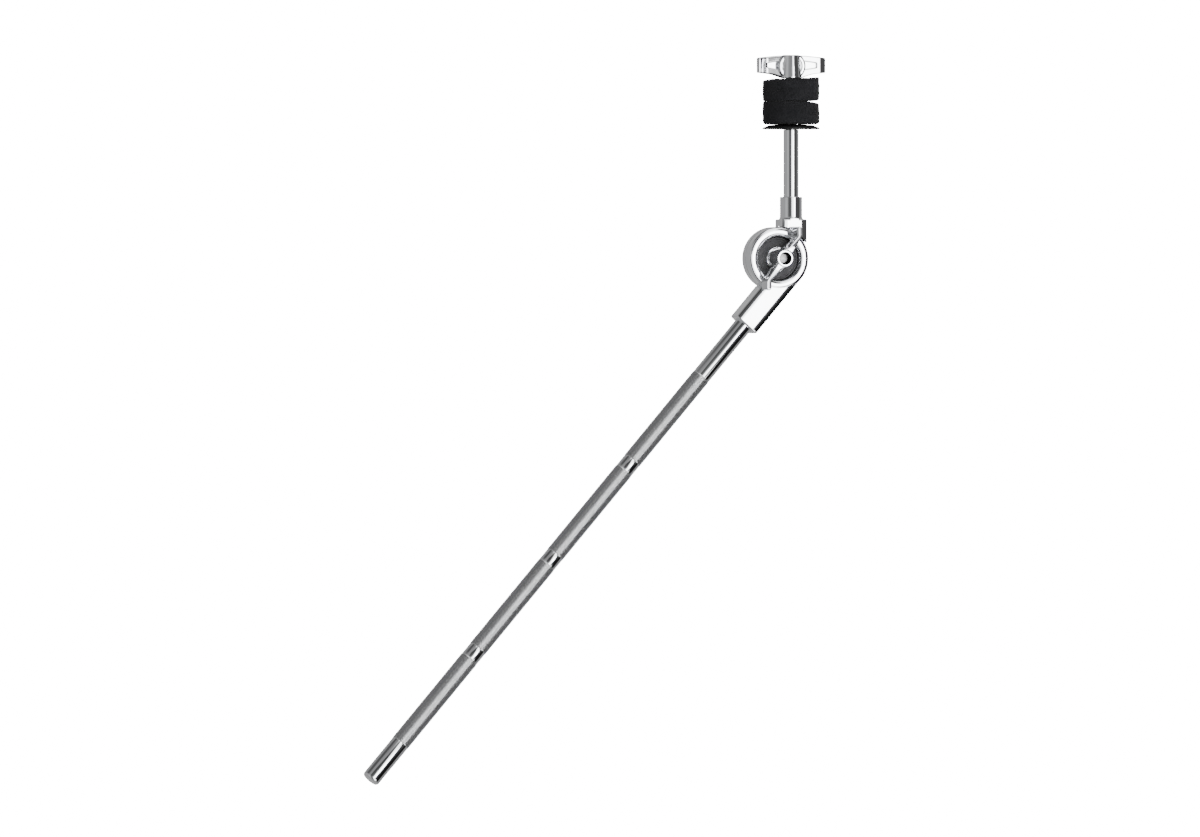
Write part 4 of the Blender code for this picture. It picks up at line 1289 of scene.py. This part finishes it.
def studio():
    """Sets the panels round the object. The camera itself sees plain white behind it instead."""
    world = bpy.data.worlds.new("studio")
    bpy.context.scene.world = world
    world.use_nodes = True
    tree = world.node_tree
    tree.nodes.clear()

    def calculate(operation, *values):
        return node(tree, "ShaderNodeMath", dict(enumerate(values)), "Value", operation=operation)

    def ease(*values):
        """From value, start, end, low and high: low up to the start, high from the end, smooth between."""
        inputs = dict(enumerate(values))
        return node(tree, "ShaderNodeMapRange", inputs, "Result", interpolation_type="SMOOTHSTEP")

    direction = node(tree, "ShaderNodeTexCoord", {}, "Generated")
    axes = tree.nodes.new("ShaderNodeSeparateXYZ")
    tree.links.new(direction, axes.inputs["Vector"])
    x, y, z = axes.outputs
    heading = calculate("ARCTAN2", x, calculate("MULTIPLY", y, -1.0))
    turned = calculate("SUBTRACT", calculate("DEGREES", heading), math.degrees(VIEW_AZIMUTH))
    azimuth = calculate("WRAP", turned, 180.0, -180.0)
    elevation = calculate("DEGREES", calculate("ARCSINE", z))
    level = WALL
    for _, left, right, low, high, radiance, blur, lean in PANELS:
        place = calculate("MULTIPLY_ADD", elevation, -lean, azimuth) if lean else azimuth
        inside = 1.0
        for value, edge, before, after in ((place, left, 0.0, 1.0), (place, right, 1.0, 0.0),
                                           (elevation, low, 0.0, 1.0), (elevation, high, 1.0, 0.0)):
            step = ease(value, edge - blur / 2, edge + blur / 2, before, after)
            inside = calculate("MULTIPLY", inside, step)
        gain = calculate("MULTIPLY", calculate("SUBTRACT", radiance, level), inside)
        level = calculate("ADD", level, gain)
    path = tree.nodes.new("ShaderNodeLightPath").outputs
    level = calculate("MULTIPLY", level, ease(path["Is Diffuse Ray"], 0.0, 1.0, 1.0, DIFFUSE_SHARE))
    level = calculate("MULTIPLY", level, calculate("SUBTRACT", 1.0, path["Is Camera Ray"]))
    level = calculate("MULTIPLY_ADD", path["Is Camera Ray"], WHITE, level)
    background = node(tree, "ShaderNodeBackground", {"Strength": level}, "Background")
    output = tree.nodes.new("ShaderNodeOutputWorld")
    tree.links.new(background, output.inputs["Surface"])


def floor():
    """A pale floor well below the arm, which is held by a stand's clamp and not by the floor."""
    size, level = FLOOR_REACH, CAD_BOX[0].z - FLOOR_DROP
    mesh = bpy.data.meshes.new("floor")
    corners = [(-size, -size, level), (size, -size, level), (size, size, level), (-size, size, level)]
    mesh.from_pydata(corners, [], [(0, 1, 2, 3)])
    obj = bpy.data.objects.new("floor", mesh)
    bpy.context.scene.collection.objects.link(obj)
    look = Look("pale_floor", (0.9, 0.9, 0.9), 0.9)
    grain = look.noise(3, 3, 0.5)
    look.colour(look.mix(grain, (0.9, 0.9, 0.9), (0.86, 0.86, 0.86)))
    look.shader.inputs["Emission Color"].default_value = (1, 1, 1, 1)
    look.shader.inputs["Emission Strength"].default_value = WHITE - FLOOR_SHINE
    mesh.materials.append(look.material)
    obj.visible_glossy = False
    obj.visible_diffuse = False
    obj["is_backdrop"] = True


def camera():
    """A long lens at the height and side that the object is seen from."""
    a, e = VIEW_AZIMUTH, VIEW_ELEVATION
    back = Vector((math.sin(a) * math.cos(e), -math.cos(a) * math.cos(e), math.sin(e)))
    right = Vector((math.cos(a), math.sin(a), 0))
    up = back.cross(right)
    target = PIVOT - right * PIVOT_FROM_MIDDLE[0] - up * PIVOT_FROM_MIDDLE[1]
    data = bpy.data.cameras.new("camera")
    data.sensor_width = SENSOR_WIDTH
    data.lens = SENSOR_WIDTH * VIEW_DISTANCE / VIEW_WIDTH
    data.clip_end = 100
    obj = bpy.data.objects.new("camera", data)
    obj.location = target + back * VIEW_DISTANCE
    obj.rotation_euler = back.to_track_quat("Z", "Y").to_euler()
    bpy.context.scene.collection.objects.link(obj)
    bpy.context.scene.camera = obj


def main():
    camera()
    studio()
    floor()
    boom_rod()
    lower_casting()
    upper_casting()
    carriage_bolt()
    brake_parts()
    thrust_plate()
    release_spring()
    roll_pins()
    wing_nuts()
    post()
    seat()
    felts()


main()

boxes = {"cad": CAD_BOX, "visual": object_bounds()}
{name: [list(corner) for corner in pair] for name, pair in boxes.items()}
